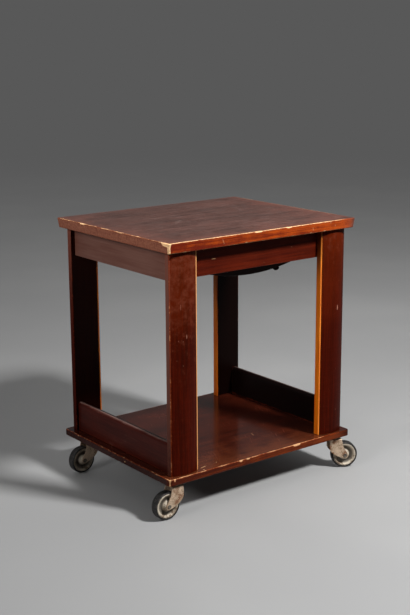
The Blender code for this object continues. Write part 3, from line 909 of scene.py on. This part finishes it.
TOP_SCUFFS = (
    Mark((-122, 68, 573.9), (-73, 54, 573.9), 1.2, 0.5),
    Mark((-94, -10, 573.9), (-58, 5, 573.9), 1.2, 0.55),
    Mark((-100, -22, 573.9), (-74, -9, 573.9), 1.2, 0.45),
    Mark((-218, 33, 573.9), (-194, 30, 573.9), 1.2, 0.5),
    Mark((97, -149, 573.9), (122, -144, 573.9), 1.2, 0.4),
)
TOP_NICKS = (
    Mark((-117.9, -207.7, 571.2), (-109.9, -205.7, 555.4), 0.9, 0.4),
    Mark((126.7, -207.1, 566.9), (128.4, -206, 557.7), 0.9, 0.45),
    Mark((176, -207.8, 572.7), (179, -207.2, 568), 0.9, 0.5),
    Mark((190, -207, 566), (193, -206.3, 560), 0.9, 0.4),
    Mark((-58, -205.7, 554.5), (-50, -205.7, 554.5), 1, 0.6),
    Mark((158, -205.7, 554.5), (166, -205.7, 554.5), 1, 0.6),
    Mark((119, -205.7, 554.5), (126, -205.7, 554.5), 1, 0.5),
)
SHELF_NICKS = (
    Mark((-163, -187, 89.4), (-139, -181, 89.4), 2, 0.55),
    Mark((-162, -197, 89.4), (-156, -196, 89.4), 2, 0.6),
    Mark((-115, -180, 89.4), (-110, -178, 89.4), 1.6, 0.5),
    Mark((185, 190, 89.4), (222, 187, 89.4), 1.6, 0.5),
    Mark((222, 187, 89.4), (221, 166, 89.4), 1.6, 0.5),
    Mark((61, -82, 89.4), (55, -103, 89.4), 1.4, 0.3),
    Mark((-250, -204, 88), (-246, -204, 86), 2, 0.9),
    Mark((-238, -204, 87.5), (-238, -204, 84.5), 1.5, 0.9),
    Mark((-249, -202, 80), (-249, -202, 77), 1.8, 0.8),
    Mark((-251, -150, 89), (-251, -164, 89), 1.5, 0.6),
    Mark((-251, -44, 83), (-251, -38, 81), 1.8, 0.6),
    Mark((-251, 140, 88.5), (-251, 150, 88), 1.6, 0.6),
)
LEG_SCUFFS = (
    Mark((-213.4, -195.5, 450), (-213.4, -195.5, 434), 1.1, 0.4),
    Mark((-199.6, -196.2, 386), (-199.6, -196.2, 374), 1.2, 0.8),
    Mark((-208, -196.2, 373), (-208, -196.2, 369), 1.3, 0.45),
    Mark((-218.5, -194.5, 375), (-218.5, -194.5, 371), 1.3, 0.45),
    Mark((-222.6, -194, 335), (-222.6, -194, 331), 1.3, 0.35),
    Mark((-208.6, -196.2, 323), (-208.6, -196.2, 319), 1.3, 0.35),
    Mark((213.4, -195, 385), (213.6, -195, 370), 2.4, 1.0),
    Mark((211.9, -195, 240), (211.9, -195, 235), 1.2, 0.5),
    Mark((213.7, -195, 145), (213.7, -195, 140), 1.2, 0.5),
)
APRON_NICKS = (
    Mark((-120.6, -175, 523.8), (-108.3, -175, 523.6), 0.9, 0.9),
    Mark((93, -175, 523.2), (97.5, -175, 523.2), 0.9, 0.3),
    Mark((19.3, -175, 500), (19.3, -175, 498), 0.9, 0.3),
)
# Scuffed and dusty: the top looks greyer than the rest and redder along its margins; its arris is worn pale,
# and the bright front line is partly painted highlight
TOP_WOOD = VarnishedMahogany("mahogany_top_scuffed_varnish", Axis.X, dark="#3d221a", light="#654138",
                             bare="#ffcd98", scuff="#8c7873", mark="#b09c94", rubbed="#834a3b",
                             rubbed_share=0.5, edge_share=1.0, cloud=(26, 14, 14), mottle=0.2,
                             roughness=0.42, scuffing=0.36, dust=0.36, gloss=0.16, nicks=TOP_NICKS,
                             scuffs=TOP_SCUFFS)
# Smooth varnish out of reach of wear: the clear coat mirrors the legs, and the front is rubbed
SHELF_WOOD = VarnishedMahogany("mahogany_shelf_polished_varnish", Axis.X, dark="#2d0e07", light="#4a1b0f",
                               rubbed="#70381f", rubbed_share=0.7, edge_dark="#48160a",
                               edge_light="#7e3410", end_dark="#2e1410", end_light="#44241e",
                               edge_share=0.9, roughness=0.24, gloss=0.08, coat=0.6, nicks=SHELF_NICKS)
# Brushed stain: deep red legs, cloudy and lighter towards the top, with painted light on the outer edges
LEG_WOOD = VarnishedMahogany("mahogany_leg_varnished", Axis.Z, dark="#310801", light="#4c1003",
                             thin="#84300f", scuff="#7c3f2c", wear=0.4, mottle=0.55, ripple=0.12, faded=0.3,
                             gloss=0.035, scuffs=LEG_SCUFFS)
# The same stain on the front and back aprons, a little redder
FRONT_WOOD = VarnishedMahogany("mahogany_apron_varnished", Axis.X, dark="#421006", light="#5e1c0b",
                               wear=0.4, nicks=APRON_NICKS)
# The side aprons are lighter, duller and pinker than the front and back aprons
SIDE_WOOD = VarnishedMahogany("mahogany_side_apron_pale_varnish", Axis.Y, dark="#663c30", light="#785145",
                              wear=0.4, gloss=0.45)
# Thick dark stain, a painted highlight along the rounded top of the rails, and painted shade on their inner
# faces
RAIL_WOOD = VarnishedMahogany("mahogany_side_rail_varnished", Axis.Y, dark="#3c1009", light="#541b11",
                              wear=0.5, rubbed="#8a7068", rubbed_share=0.75, gloss=0.12)
# Nearly black: painted shade on the bowed rail under the front apron
DARK_WOOD = VarnishedMahogany("mahogany_bowed_rail_painted_shade", Axis.X, dark="#120503", light="#220a06",
                              wear=0.2)
LIPPING_WOOD = VarnishedMaple()
BLOCK_WOOD = SawnSoftwood()
# Plating that still shines a little on the forks, greasy and painted shade in the wheels, gone on plates and
# rivets; the plates' dark tone is partly painted shade
SHEET_STEEL = DulledSteel("sheet_steel_pressed_dull_plating", "#e2c8ac", "#a38468", rust="#8a5636",
                          rust_share=0.8)
PLATE_STEEL = DulledSteel("sheet_steel_plate_tarnished_and_shaded", "#6e6252", "#463d33", rust="#3c2b1e")
DISC_STEEL = DulledSteel("sheet_steel_wheel_disc_dull_plating", "#e8dcc8", "#b2a28c", rust="#6a4f39",
                         roughness=0.62, metallic=0.25)
PIN_STEEL = DulledSteel("steel_rivet_oxidised", "#7d7468", "#544a40", rust="#3a2a1e", roughness=0.45)
RUBBER = MouldedRubber()


@functools.lru_cache(maxsize=None)
def material_of(finish: object) -> bpy.types.Material:
    """Material of a finish, built once."""
    return finish.make()


def dress(node: str, finish: object) -> None:
    """Gives a CAD node a finish in place of its plain material.

    Args:
        node: name of the CAD node.
        finish: finish with a make method.
    """
    mesh = frame["nodes"][node].data
    mesh.materials.clear()
    mesh.materials.append(material_of(finish))
    LOG.info("dressed %s with %s", node, finish.name)


def stand_in(node: str, surface: Surface, finish: object) -> bpy.types.Object:
    """Puts a surface in a CAD node's place and lets it ride on that node's body.

    Args:
        node: name of the CAD node that the piece replaces.
        surface: the piece's surface.
        finish: finish with a make method.

    Returns:
        The new piece.
    """
    name = f"worn_{node}"
    mesh = bpy.data.meshes.new(name)
    mesh.from_pydata(surface.points.tolist(), [], surface.quads.tolist() + surface.triangles.tolist())
    for key, values in surface.values.items():
        attribute = mesh.attributes.new(key, "FLOAT", "POINT")
        attribute.data.foreach_set("value", values.astype(np.float32))
    mesh.shade_smooth()
    mesh.materials.append(material_of(finish))
    piece = bpy.data.objects.new(name, mesh)
    bpy.context.scene.collection.objects.link(piece)
    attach(piece, frame["nodes"][node]["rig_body"])
    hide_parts(node)
    LOG.info("built %s with %d faces", name, len(mesh.polygons))
    return piece


@dataclass(frozen=True)
class WornArris:
    """A rounded edge whose radius wanders: radius * (1 + uneven * ripple)."""

    radius: float
    uneven: float = 0.0
    waves: tuple[int, ...] = (1,)
    seed: int = 0

    def radii(self, count: int) -> np.ndarray:
        """Radius at each of a count of places round the board."""
        return self.radius * (1 + self.uneven * ripple(np.arange(count) / count, self.waves, self.seed))


def slab(node: str, corner: float, lower: WornArris, upper: WornArris, spacing: float, ring_gap: float,
         lean: float = 0.0) -> Surface:
    """Level board: its plan, a rectangle with round corners, carried up with worn arrises.

    Args:
        node: name of the CAD node that gives the board's box.
        corner: round at the corners of the plan.
        lower: arris below.
        upper: arris above.
        spacing: largest distance between points round the plan.
        ring_gap: distance between rings up the edge.
        lean: how far the edge draws in from top to bottom.

    Returns:
        The surface.
    """
    low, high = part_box(node)
    outline = Outline.rectangle(low[:2], high[:2], (corner,) * 4, spacing)
    below, above = (arris.radii(len(outline.points)) for arris in (lower, upper))
    return rounded_prism(outline, Axis.Z, low.z, high.z, below, above, ring_gap, lean, CAP_SHARES)


def plank(node: str, axis: Axis, radii: tuple, end_arris: float, spacing: float,
          inner_shade_reach: float) -> Surface:
    """Board on edge: its section, a rectangle with round corners, carried along, with painted shade on its
    inner face.

    Args:
        node: name of the CAD node that gives the board's box.
        axis: way that the board runs.
        radii: round at the section's corners, from the highest corner counter-clockwise.
        end_arris: arris at both ends.
        spacing: largest distance between points.
        inner_shade_reach: how far the painted shade reaches from the inner face.

    Returns:
        The surface, with "inner" as 1 where the painted shade lies.
    """
    low, high = (np.array(corner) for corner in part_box(node))
    across = [k for k in range(3) if k != axis.value]
    outline = Outline.rectangle(tuple(low[across]), tuple(high[across]), radii, spacing)
    surface = rounded_prism(outline, axis, low[axis.value], high[axis.value], end_arris, end_arris, spacing)
    face = across[0]
    inside = np.abs(surface.points[:, face]) < min(abs(low[face]), abs(high[face])) + inner_shade_reach
    surface.values["inner"] = inside.astype(float)
    return surface


@dataclass
class Top:
    """Top slab, with edges that lean in, a worn upper arris and chips."""

    node: str = "top_panel"
    lean: float = 2.7 * MM
    upper: WornArris = WornArris(1.8 * MM, 0.35, (23, 41, 67, 97), 5)
    lower: WornArris = WornArris(1.2 * MM, 0.25, (19, 37, 71), 6)
    corner: float = 2.8 * MM
    spacing: float = 2.0 * MM
    ring_gap: float = 2.0 * MM
    margin: float = 12 * MM
    wear: float = 0.92
    # The front arris wears paler, and its extra wear also paints a bright highlight line along it
    front_wear: float = 1.12
    back_wear: float = 0.7
    rubbed_reach: float = 40 * MM
    stain_reach: float = 22 * MM
    stain_share: float = 0.9
    marks: tuple[Mark, ...] = (
        Mark((-250, -190, 573), (-250, -206, 571), 4.2, 1.3, (2, 0, -1.4)),
        Mark((-250, -205, 572), (-247.8, -205.2, 556), 2.6, 1.3, (0.9, 0.2, 0)),
        Mark((-250, 110, 574), (-250, 98, 574), 2, 1.0, (0.6, 0, -0.6)),
        Mark((-30, -208, 574), (-16, -208, 574), 2, 0.9, (0, 0.4, -0.4)),
        Mark((56, -208, 574), (64, -208, 574), 1.8, 0.8, (0, 0.3, -0.3)),
    )

    def build(self) -> None:
        """Builds the slab and writes where it is worn, rubbed, stained and chipped."""
        low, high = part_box(self.node)
        surface = slab(self.node, self.corner, self.lower, self.upper, self.spacing, self.ring_gap, self.lean)
        x, y = np.abs(surface.points[:, 0]), surface.points[:, 1]
        margins = [y < low.y + self.margin, y > high.y - self.margin]
        surface.values["arris"] *= np.select(margins, [self.front_wear, self.back_wear], self.wear)
        ends = (x > high.x - self.lean - self.lower.radius) & (y > low.y + self.lean + self.corner)
        surface.values["end"] = ends.astype(float)
        off_front = 1 - np.exp((low.y - y) / self.rubbed_reach)
        off_ends = 1 - np.exp((x - high.x) / self.rubbed_reach)
        surface.values["rubbed"] = 1 - off_front * off_ends
        surface.stain_corner(high.x, low.y, self.stain_reach, self.stain_share)
        stand_in(self.node, surface.take_marks(self.marks), TOP_WOOD)


@dataclass
class Shelf:
    """Bottom shelf with rounded corners and a worn front arris."""

    node: str = "shelf"
    corner: float = 8 * MM
    upper: WornArris = WornArris(1.7 * MM, 0.3, (17, 43, 61, 89), 8)
    lower: WornArris = WornArris(1.7 * MM)
    spacing: float = 2.0 * MM
    ring_gap: float = 1.8 * MM
    margin: float = 12 * MM
    wear: float = 0.8
    front_wear: float = 0.92
    rubbed_reach: float = 60 * MM
    stain_reach: float = 45 * MM
    stain_share: float = 0.95
    marks: tuple[Mark, ...] = (
        Mark((86, -204, 88.5), (99, -204, 89), 2, 1.2, (0, 0.9, -0.6)),
        Mark((-67, -204, 88.5), (-64, -204, 88.5), 1.6, 1.1, (0, 0.6, -0.4)),
        Mark((-47, -204, 89), (-44, -204, 89), 1.4, 1.1, (0, 0.5, -0.4)),
        Mark((-249, -201.5, 89), (-249, -201.5, 77), 1.6, 1.1, (0.3, 0.3, 0)),
        Mark((-238, -204, 88.5), (-238, -204, 85), 1.3, 1.1, (0, 0.4, 0)),
    )

    def build(self) -> None:
        """Builds the shelf and writes where it is worn, rubbed, stained and chipped."""
        low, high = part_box(self.node)
        surface = slab(self.node, self.corner, self.lower, self.upper, self.spacing, self.ring_gap)
        x, y = np.abs(surface.points[:, 0]), surface.points[:, 1]
        front = y < low.y + self.margin
        surface.values["arris"] *= np.where(front, self.front_wear, self.wear)
        surface.values["end"] = ((x > high.x - self.lower.radius) & ~front).astype(float)
        surface.values["rubbed"] = np.exp((low.y - y) / self.rubbed_reach)
        surface.stain_corner(high.x, low.y, self.stain_reach, self.stain_share)
        stand_in(self.node, surface.take_marks(self.marks), SHELF_WOOD)


@dataclass
class Legs:
    """Four leg boards, flat behind and bowed in front, each with a pale lipping on its inner edge."""

    width: float = 68 * MM
    edge: float = 13.2 * MM
    bow: float = 8 * MM
    lipping: float = 3 * MM
    fit: float = 0.3 * MM
    arris: float = 1.0 * MM
    lipping_arris: float = 0.7 * MM
    near_rubbed_and_highlight: float = 0.72
    rubbed_share: float = 0.3
    cloud_share: float = 0.3
    side_light_share: float = 0.4
    left_inner_shade: float = 0.62
    shade_reach: float = 9 * MM
    shade_share: float = 0.6
    near_wear: float = 0.85
    wear: float = 0.4
    worn_reach: float = 3 * MM
    front_reach: float = 2 * MM
    spacing: float = 2.0 * MM
    ring_gap: float = 2.4 * MM

    def section(self, start: float, stop: float, arris: float) -> list[Bend]:
        """Arcs round a leg's section between two distances from its outer edge.

        The front is a circle of radius R through the bow. A round of radius r that touches the line
        u = c and the circle from inside has its centre at v = R' + sqrt((R - r)^2 - (u - half)^2).

        Args:
            start: first distance from the outer edge.
            stop: last distance from the outer edge.
            arris: radius of the rounds.

        Returns:
            The arcs, with u from the outer edge and v from the back face.
        """
        half = self.width / 2
        radius = (half ** 2 + self.bow ** 2) / (2 * self.bow)
        base = self.edge + self.bow - radius
        rounds = []
        for u in (stop - arris, start + arris):
            v = base + math.sqrt((radius - arris) ** 2 - (u - half) ** 2)
            rounds.append((u, v, math.degrees(math.atan2(v - base, u - half))))
        (u_stop, v_stop, a_stop), (u_start, v_start, a_start) = rounds
        return [
            Bend(u_stop, v_stop, arris, 0.0, a_stop),
            Bend(half, base, radius, a_stop, a_start),
            Bend(u_start, v_start, arris, a_start, 180.0),
            Bend(start + arris, arris, arris, 180.0, 270.0),
            Bend(stop - arris, arris, arris, 270.0, 360.0),
        ]

    def build(self) -> None:
        """Builds each leg and lipping from its section, carried up from shelf to top."""
        cut = self.width - self.lipping
        leg = Outline.through(self.section(0.0, cut - self.fit, self.arris), self.spacing)
        lipping = Outline.through(self.section(cut, self.width, self.lipping_arris), self.spacing)
        for end, back in ENDS.items():
            for side, right in SIDES.items():
                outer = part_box(f"leg_{end}_{side}")
                edge = outer[1 if right > 0 else 0].x
                rear = outer[0 if back > 0 else 1].y
                for piece, outline, finish in (("leg", leg, LEG_WOOD), ("lipping", lipping, LIPPING_WOOD)):
                    node = f"{piece}_{end}_{side}"
                    low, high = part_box(node)
                    turn = np.array([-right, back])
                    points = outline.points * turn + (edge, rear)
                    placed = Outline(points, outline.normals * turn, outline.corner_gap)
                    ends = self.arris / 2
                    surface = rounded_prism(placed, Axis.Z, low.z, high.z, ends, ends, self.ring_gap)
                    across = np.abs(surface.points[:, 0] - edge)
                    depth = (surface.points[:, 1] - rear) * back
                    self.age(surface, across, depth, (back, right))
                    stand_in(node, surface, finish)

    def age(self, surface: Surface, across: np.ndarray, depth: np.ndarray, place: tuple[int, int]) -> None:
        """Writes where a leg or its lipping is worn, rubbed and cloudy, and where painted shade and painted
        light fall on it.

        Args:
            surface: the leg or lipping.
            across: distance of each point from the leg's outer edge.
            depth: distance of each point from the leg's back face.
            place: signs of y and x at the leg.
        """
        near, right = place == (ENDS["front"], SIDES["left"]), place[1] > 0
        values = surface.values
        # Painted shade: inner faces darken, left legs less, and right legs darken towards their outer edge
        shade = np.exp(-across / self.shade_reach) * self.shade_share * right
        values["inner"] = np.maximum((depth < self.arris / 2) * (1.0 if right else self.left_inner_shade), shade)
        outer_arris = (across < self.worn_reach) & (depth > self.edge - self.worn_reach)
        values["arris"] *= 1 + (self.near_wear if near else self.wear) * outer_arris
        # The near leg's front is paler: rubbing and a painted highlight
        pale = self.near_rubbed_and_highlight if near else self.rubbed_share
        values["front"] = (depth > self.edge - self.front_reach) * pale
        # Painted shade on the back right leg and its lipping
        values["back_right_shade"] = np.full(len(depth), float(place == (ENDS["back"], SIDES["right"])))
        values["clouded"] = np.full(len(depth), 1.0 if near else self.cloud_share)
        # Painted light on the outer edge faces, most on the near leg
        values["outer"] = (across < self.arris) * (1.0 if near else self.side_light_share)


@dataclass
class Aprons:
    """Apron box under the top, with the bowed rail, its knob and the glue blocks inside."""

    arris: float = 1.0 * MM
    end_arris: float = 0.7 * MM
    inner_shade_reach: float = 1.0 * MM
    spacing: float = 4 * MM

    def build(self) -> None:
        """Builds the aprons from their sections and dresses the nodes inside the box."""
        for way, axis, finish in (("front", Axis.X, FRONT_WOOD), ("back", Axis.X, FRONT_WOOD),
                                  ("left", Axis.Y, SIDE_WOOD), ("right", Axis.Y, SIDE_WOOD)):
            node, radii = f"apron_{way}", (self.arris,) * 4
            stand_in(node, plank(node, axis, radii, self.end_arris, self.spacing, self.inner_shade_reach), finish)
        # Near-black painted shade on the bowed rail and its knob
        dress("bowed_rail", DARK_WOOD)
        dress("bowed_rail_knob", DARK_WOOD)
        for corner in CORNERS:
            dress(f"corner_block_{corner}", BLOCK_WOOD)


@dataclass
class SideRails:
    """Low rails on the shelf, rounded along the top."""

    crown: float = 6 * MM
    inner_shade_reach: float = 9 * MM
    crown_highlight_reach: float = 1.4 * MM
    arris: float = 0.8 * MM
    end_arris: float = 0.5 * MM
    spacing: float = 3 * MM

    def build(self) -> None:
        """Builds each rail from its section, carried from leg to leg."""
        for side in SIDES:
            node = f"side_rail_{side}"
            radii = (self.crown, self.crown, self.arris, self.arris)
            surface = plank(node, Axis.Y, radii, self.end_arris, self.spacing, self.inner_shade_reach)
            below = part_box(node)[1].z - surface.points[:, 2]
            # Painted highlight: the rubbed colour runs along the crown
            surface.values["rubbed"] = np.exp(-below / self.crown_highlight_reach)
            stand_in(node, surface, RAIL_WOOD)


@dataclass
class Castors:
    """Four castors with round wheel centres and tyres in place of the faceted ones."""

    segments: int = 96
    hub_half: float = 10.8 * MM
    hub_radius: float = 7.5 * MM
    bore: float = 3.2 * MM
    cone_radius: float = 13.0 * MM
    web_half: float = 2.6 * MM
    dish_radius: float = 20.2 * MM
    dish_half: float = 4.2 * MM
    lip_radius: float = 22.6 * MM
    rim_half: float = 8.3 * MM
    rim_radius: float = 26.2 * MM
    groove_half: float = 4.5 * MM
    groove_radius: float = 24.6 * MM
    seat_radius: float = 26.5 * MM
    bead_radius: float = 24.9 * MM
    bead_half: float = 4.2 * MM
    tyre_half: float = 9.0 * MM
    shoulder: float = 2.2 * MM
    shoulder_points: int = 5
    tread_half: float = 5.5 * MM
    disc_ease: float = 1.0 * MM
    tyre_ease: float = 0.5 * MM
    lip_slack: float = 0.3 * MM

    def disc_profile(self) -> np.ndarray:
        """Profile of the wheel centre: hub, cone, dished web, rolled rim and the groove for the bead.

        Returns:
            Radius and place on the axle of each profile point.
        """
        half = [
            (self.bore, self.hub_half),
            (self.hub_radius, self.hub_half),
            (self.cone_radius, self.web_half),
            (self.dish_radius, self.dish_half),
            (self.lip_radius, self.rim_half),
            (self.rim_radius, self.rim_half),
            (self.rim_radius, self.groove_half),
            (self.groove_radius, self.groove_half),
        ]
        return eased_loop(half + [(r, -h) for r, h in reversed(half)], self.disc_ease)

    def hollow(self, profile: np.ndarray) -> np.ndarray:
        """How deep each point of the wheel centre lies in the ring-shaped hollow inside its rim.

        It is the depth below the rim's face over its full depth, between the cone and the rim's lip.

        Args:
            profile: radius and place on the axle of each profile point.

        Returns:
            One value from 0 to 1 for each point.
        """
        depth = (self.rim_half - np.abs(profile[:, 1])) / (self.rim_half - self.web_half)
        within = (profile[:, 0] > self.hub_radius) & (profile[:, 0] < self.lip_radius + self.lip_slack)
        return np.clip(depth, 0.0, 1.0) * within

    def tyre_profile(self, radius: float) -> np.ndarray:
        """Profile of the tyre: crowned tread, round shoulders, sidewalls and the bead.

        Args:
            radius: radius of the tread.

        Returns:
            The profile's points.
        """
        t = np.linspace(0.0, math.pi / 2, self.shoulder_points)
        widths = self.tread_half + (self.tyre_half - self.tread_half) * np.sin(t)
        radii = radius - self.shoulder * (1 - np.cos(t))
        half = list(zip(radii.tolist(), widths.tolist()))
        half += [(self.seat_radius, self.tyre_half), (self.seat_radius, self.bead_half),
                 (self.bead_radius, self.bead_half)]
        return eased_loop(half + [(r, -h) for r, h in reversed(half)], self.tyre_ease)

    def build(self) -> None:
        """Builds wheel centres and tyres on their axles and dresses the other castor nodes."""
        axles = {joint["name"]: joint for joint in frame["joints"]}
        profile = self.disc_profile()
        for corner in CORNERS:
            joint = axles[f"roll_{corner}"]
            centre, axle = np.array(joint["pos_m"]), np.array(joint["axis"], float)
            axle = axle / np.linalg.norm(axle)
            disc = turned_ring(profile, centre, axle, self.segments)
            # Dark grease and painted shade fill the hollow inside the rim
            disc.values["grime_and_shade"] = np.tile(self.hollow(profile), self.segments)
            tyre = turned_ring(self.tyre_profile(centre[2]), centre, axle, self.segments)
            stand_in(f"wheel_{corner}", disc, DISC_STEEL)
            stand_in(f"tyre_{corner}", tyre, RUBBER)
            for piece, finish in (("fork", SHEET_STEEL), ("castor_plate", PLATE_STEEL), ("axle", PIN_STEEL),
                                  ("kingpin", PIN_STEEL), ("swivel_race", PIN_STEEL),
                                  ("plate_screw_left", PIN_STEEL), ("plate_screw_right", PIN_STEEL)):
                dress(f"{piece}_{corner}", finish)


@dataclass(frozen=True)
class Lamp:
    """A soft box: where it stands, its width, its power, where it points and how wide its grid spreads."""

    name: str
    place: Vec3
    width: float
    watts: float
    aim: Vec3 = (0.0, 0.0, 0.32)
    spread: float = 180.0


@dataclass
class Studio:
    """Pale floor, soft lamps, even room light and the camera at the photograph's angle."""

    floor_half: float = 60.0
    fade: tuple[float, float] = (1.5, 7.0)
    floor_colour: str = "#aeaeae"
    floor_cloud: str = "#b8b8b7"
    floor_bounce: str = "#565656"
    room: float = 0.02
    glow: float = 0.6
    glow_from: Vec3 = (0.40, 0.84, 0.37)
    backdrop: str = "#585858"
    lamps: tuple[Lamp, ...] = (
        Lamp("key_softbox", (0.62, -1.72, 2.10), 0.32, 73.0),
        Lamp("left_fill", (-2.1, -0.3, 1.6), 1.1, 3.8, (0.0, 0.0, 0.85), 50.0),
    )
    lens_mm: float = 69.06
    sensor_mm: float = 36.0
    eye: Vec3 = (-1.55013, -2.01324, 0.98499)
    yaw: float = -37.55
    pitch: float = 13.55
    roll: float = -0.33

    def build(self) -> None:
        """Builds floor, lamps, world and camera."""
        bpy.context.scene.view_settings.view_transform = "Standard"
        self.lay_floor()
        self.hang_lamps()
        self.light_room()
        self.set_camera()

    def lay_floor(self) -> None:
        """Lays one plain pale sheet on z = 0, which fades into the backdrop far away."""
        half = self.floor_half
        mesh = bpy.data.meshes.new("studio_floor")
        corners = [(-half, -half, 0.0), (half, -half, 0.0), (half, half, 0.0), (-half, half, 0.0)]
        mesh.from_pydata(corners, [], [(0, 1, 2, 3)])
        skin = Skin("paper_floor_matt")
        cloud = skin.patterned(600, 2.0)
        seen = seen_rays(skin.tree)
        shown, _ = skin.layered(self.floor_colour, [Layer(self.floor_cloud, cloud, 0.4, 0.7, 0.5)])
        colour, _ = skin.layered(self.floor_bounce, [Layer(shown, seen, 0.0, 1.0)])
        paper = skin.closed(colour, skin.weighted([(cloud, 0.1)], 0.7), cloud, 0.1 * MM)
        far = add_node(skin.tree, "VectorMath", {0: skin.place}, "Value", operation="LENGTH")
        span = {"Value": far, "From Min": self.fade[0], "From Max": self.fade[1]}
        far = add_node(skin.tree, "MapRange", span, interpolation_type="SMOOTHSTEP")
        haze = add_node(skin.tree, "Emission", {"Color": self.backdrop, "Strength": seen})
        mix = add_node(skin.tree, "MixShader", {0: far, 1: skin.shader.outputs[0], 2: haze})
        skin.tree.links.new(mix, skin.tree.nodes["Material Output"].inputs["Surface"])
        mesh.materials.append(paper)
        floor = bpy.data.objects.new("studio_floor", mesh)
        bpy.context.scene.collection.objects.link(floor)

    def hang_lamps(self) -> None:
        """Hangs the soft boxes, each turned to its aim."""
        for lamp in self.lamps:
            light = bpy.data.lights.new(lamp.name, "AREA")
            light.size = lamp.width
            light.energy = lamp.watts
            light.spread = math.radians(lamp.spread)
            holder = bpy.data.objects.new(lamp.name, light)
            holder.location = lamp.place
            towards = Vector(lamp.aim) - Vector(lamp.place)
            holder.rotation_euler = towards.to_track_quat("-Z", "Y").to_euler()
            bpy.context.scene.collection.objects.link(holder)

    def light_room(self) -> None:
        """Gives the world a soft light, most from above behind, and a grey for camera, gloss and glass."""
        world = bpy.data.worlds.new("studio_room")
        bpy.context.scene.world = world
        world.use_nodes = True
        tree = world.node_tree
        way = add_node(tree, "TexCoord", output="Generated")
        facing = add_node(tree, "VectorMath", {0: way, 1: self.glow_from}, "Value", operation="DOT_PRODUCT")
        span = {"Value": facing, "From Min": 0.0, "From Max": 1.0, "To Min": self.room, "To Max": self.glow}
        level = add_node(tree, "MapRange", span)
        even = add_node(tree, "Background", {"Color": "#ffffff", "Strength": level})
        shown = add_node(tree, "Background", {"Color": self.backdrop, "Strength": 1.0})
        mix = add_node(tree, "MixShader", {0: seen_rays(tree), 1: even, 2: shown})
        tree.links.new(mix, tree.nodes["World Output"].inputs["Surface"])

    def set_camera(self) -> None:
        """Sets the camera from its place, yaw, pitch and roll."""
        yaw, pitch, roll = (math.radians(angle) for angle in (self.yaw, self.pitch, self.roll))
        away = Vector((math.sin(yaw) * math.cos(pitch), -math.cos(yaw) * math.cos(pitch), math.sin(pitch)))
        level = Vector((math.cos(yaw), math.sin(yaw), 0.0))
        above = away.cross(level)
        right = level * math.cos(roll) + above * math.sin(roll)
        up = above * math.cos(roll) - level * math.sin(roll)
        data = bpy.data.cameras.new("photo_camera")
        data.lens = self.lens_mm
        data.sensor_width = self.sensor_mm
        camera = bpy.data.objects.new("photo_camera", data)
        turn = Matrix((right, up, away)).transposed().to_4x4()
        camera.matrix_world = Matrix.Translation(self.eye) @ turn
        bpy.context.scene.collection.objects.link(camera)
        bpy.context.scene.camera = camera


def main() -> None:
    """Builds the studio and the sub-assemblies in order."""
    logging.basicConfig(level=logging.INFO, format="%(message)s")
    Studio().build()
    Top().build()
    Shelf().build()
    Legs().build()
    Aprons().build()
    SideRails().build()
    Castors().build()


if __name__ == "__main__":
    main()
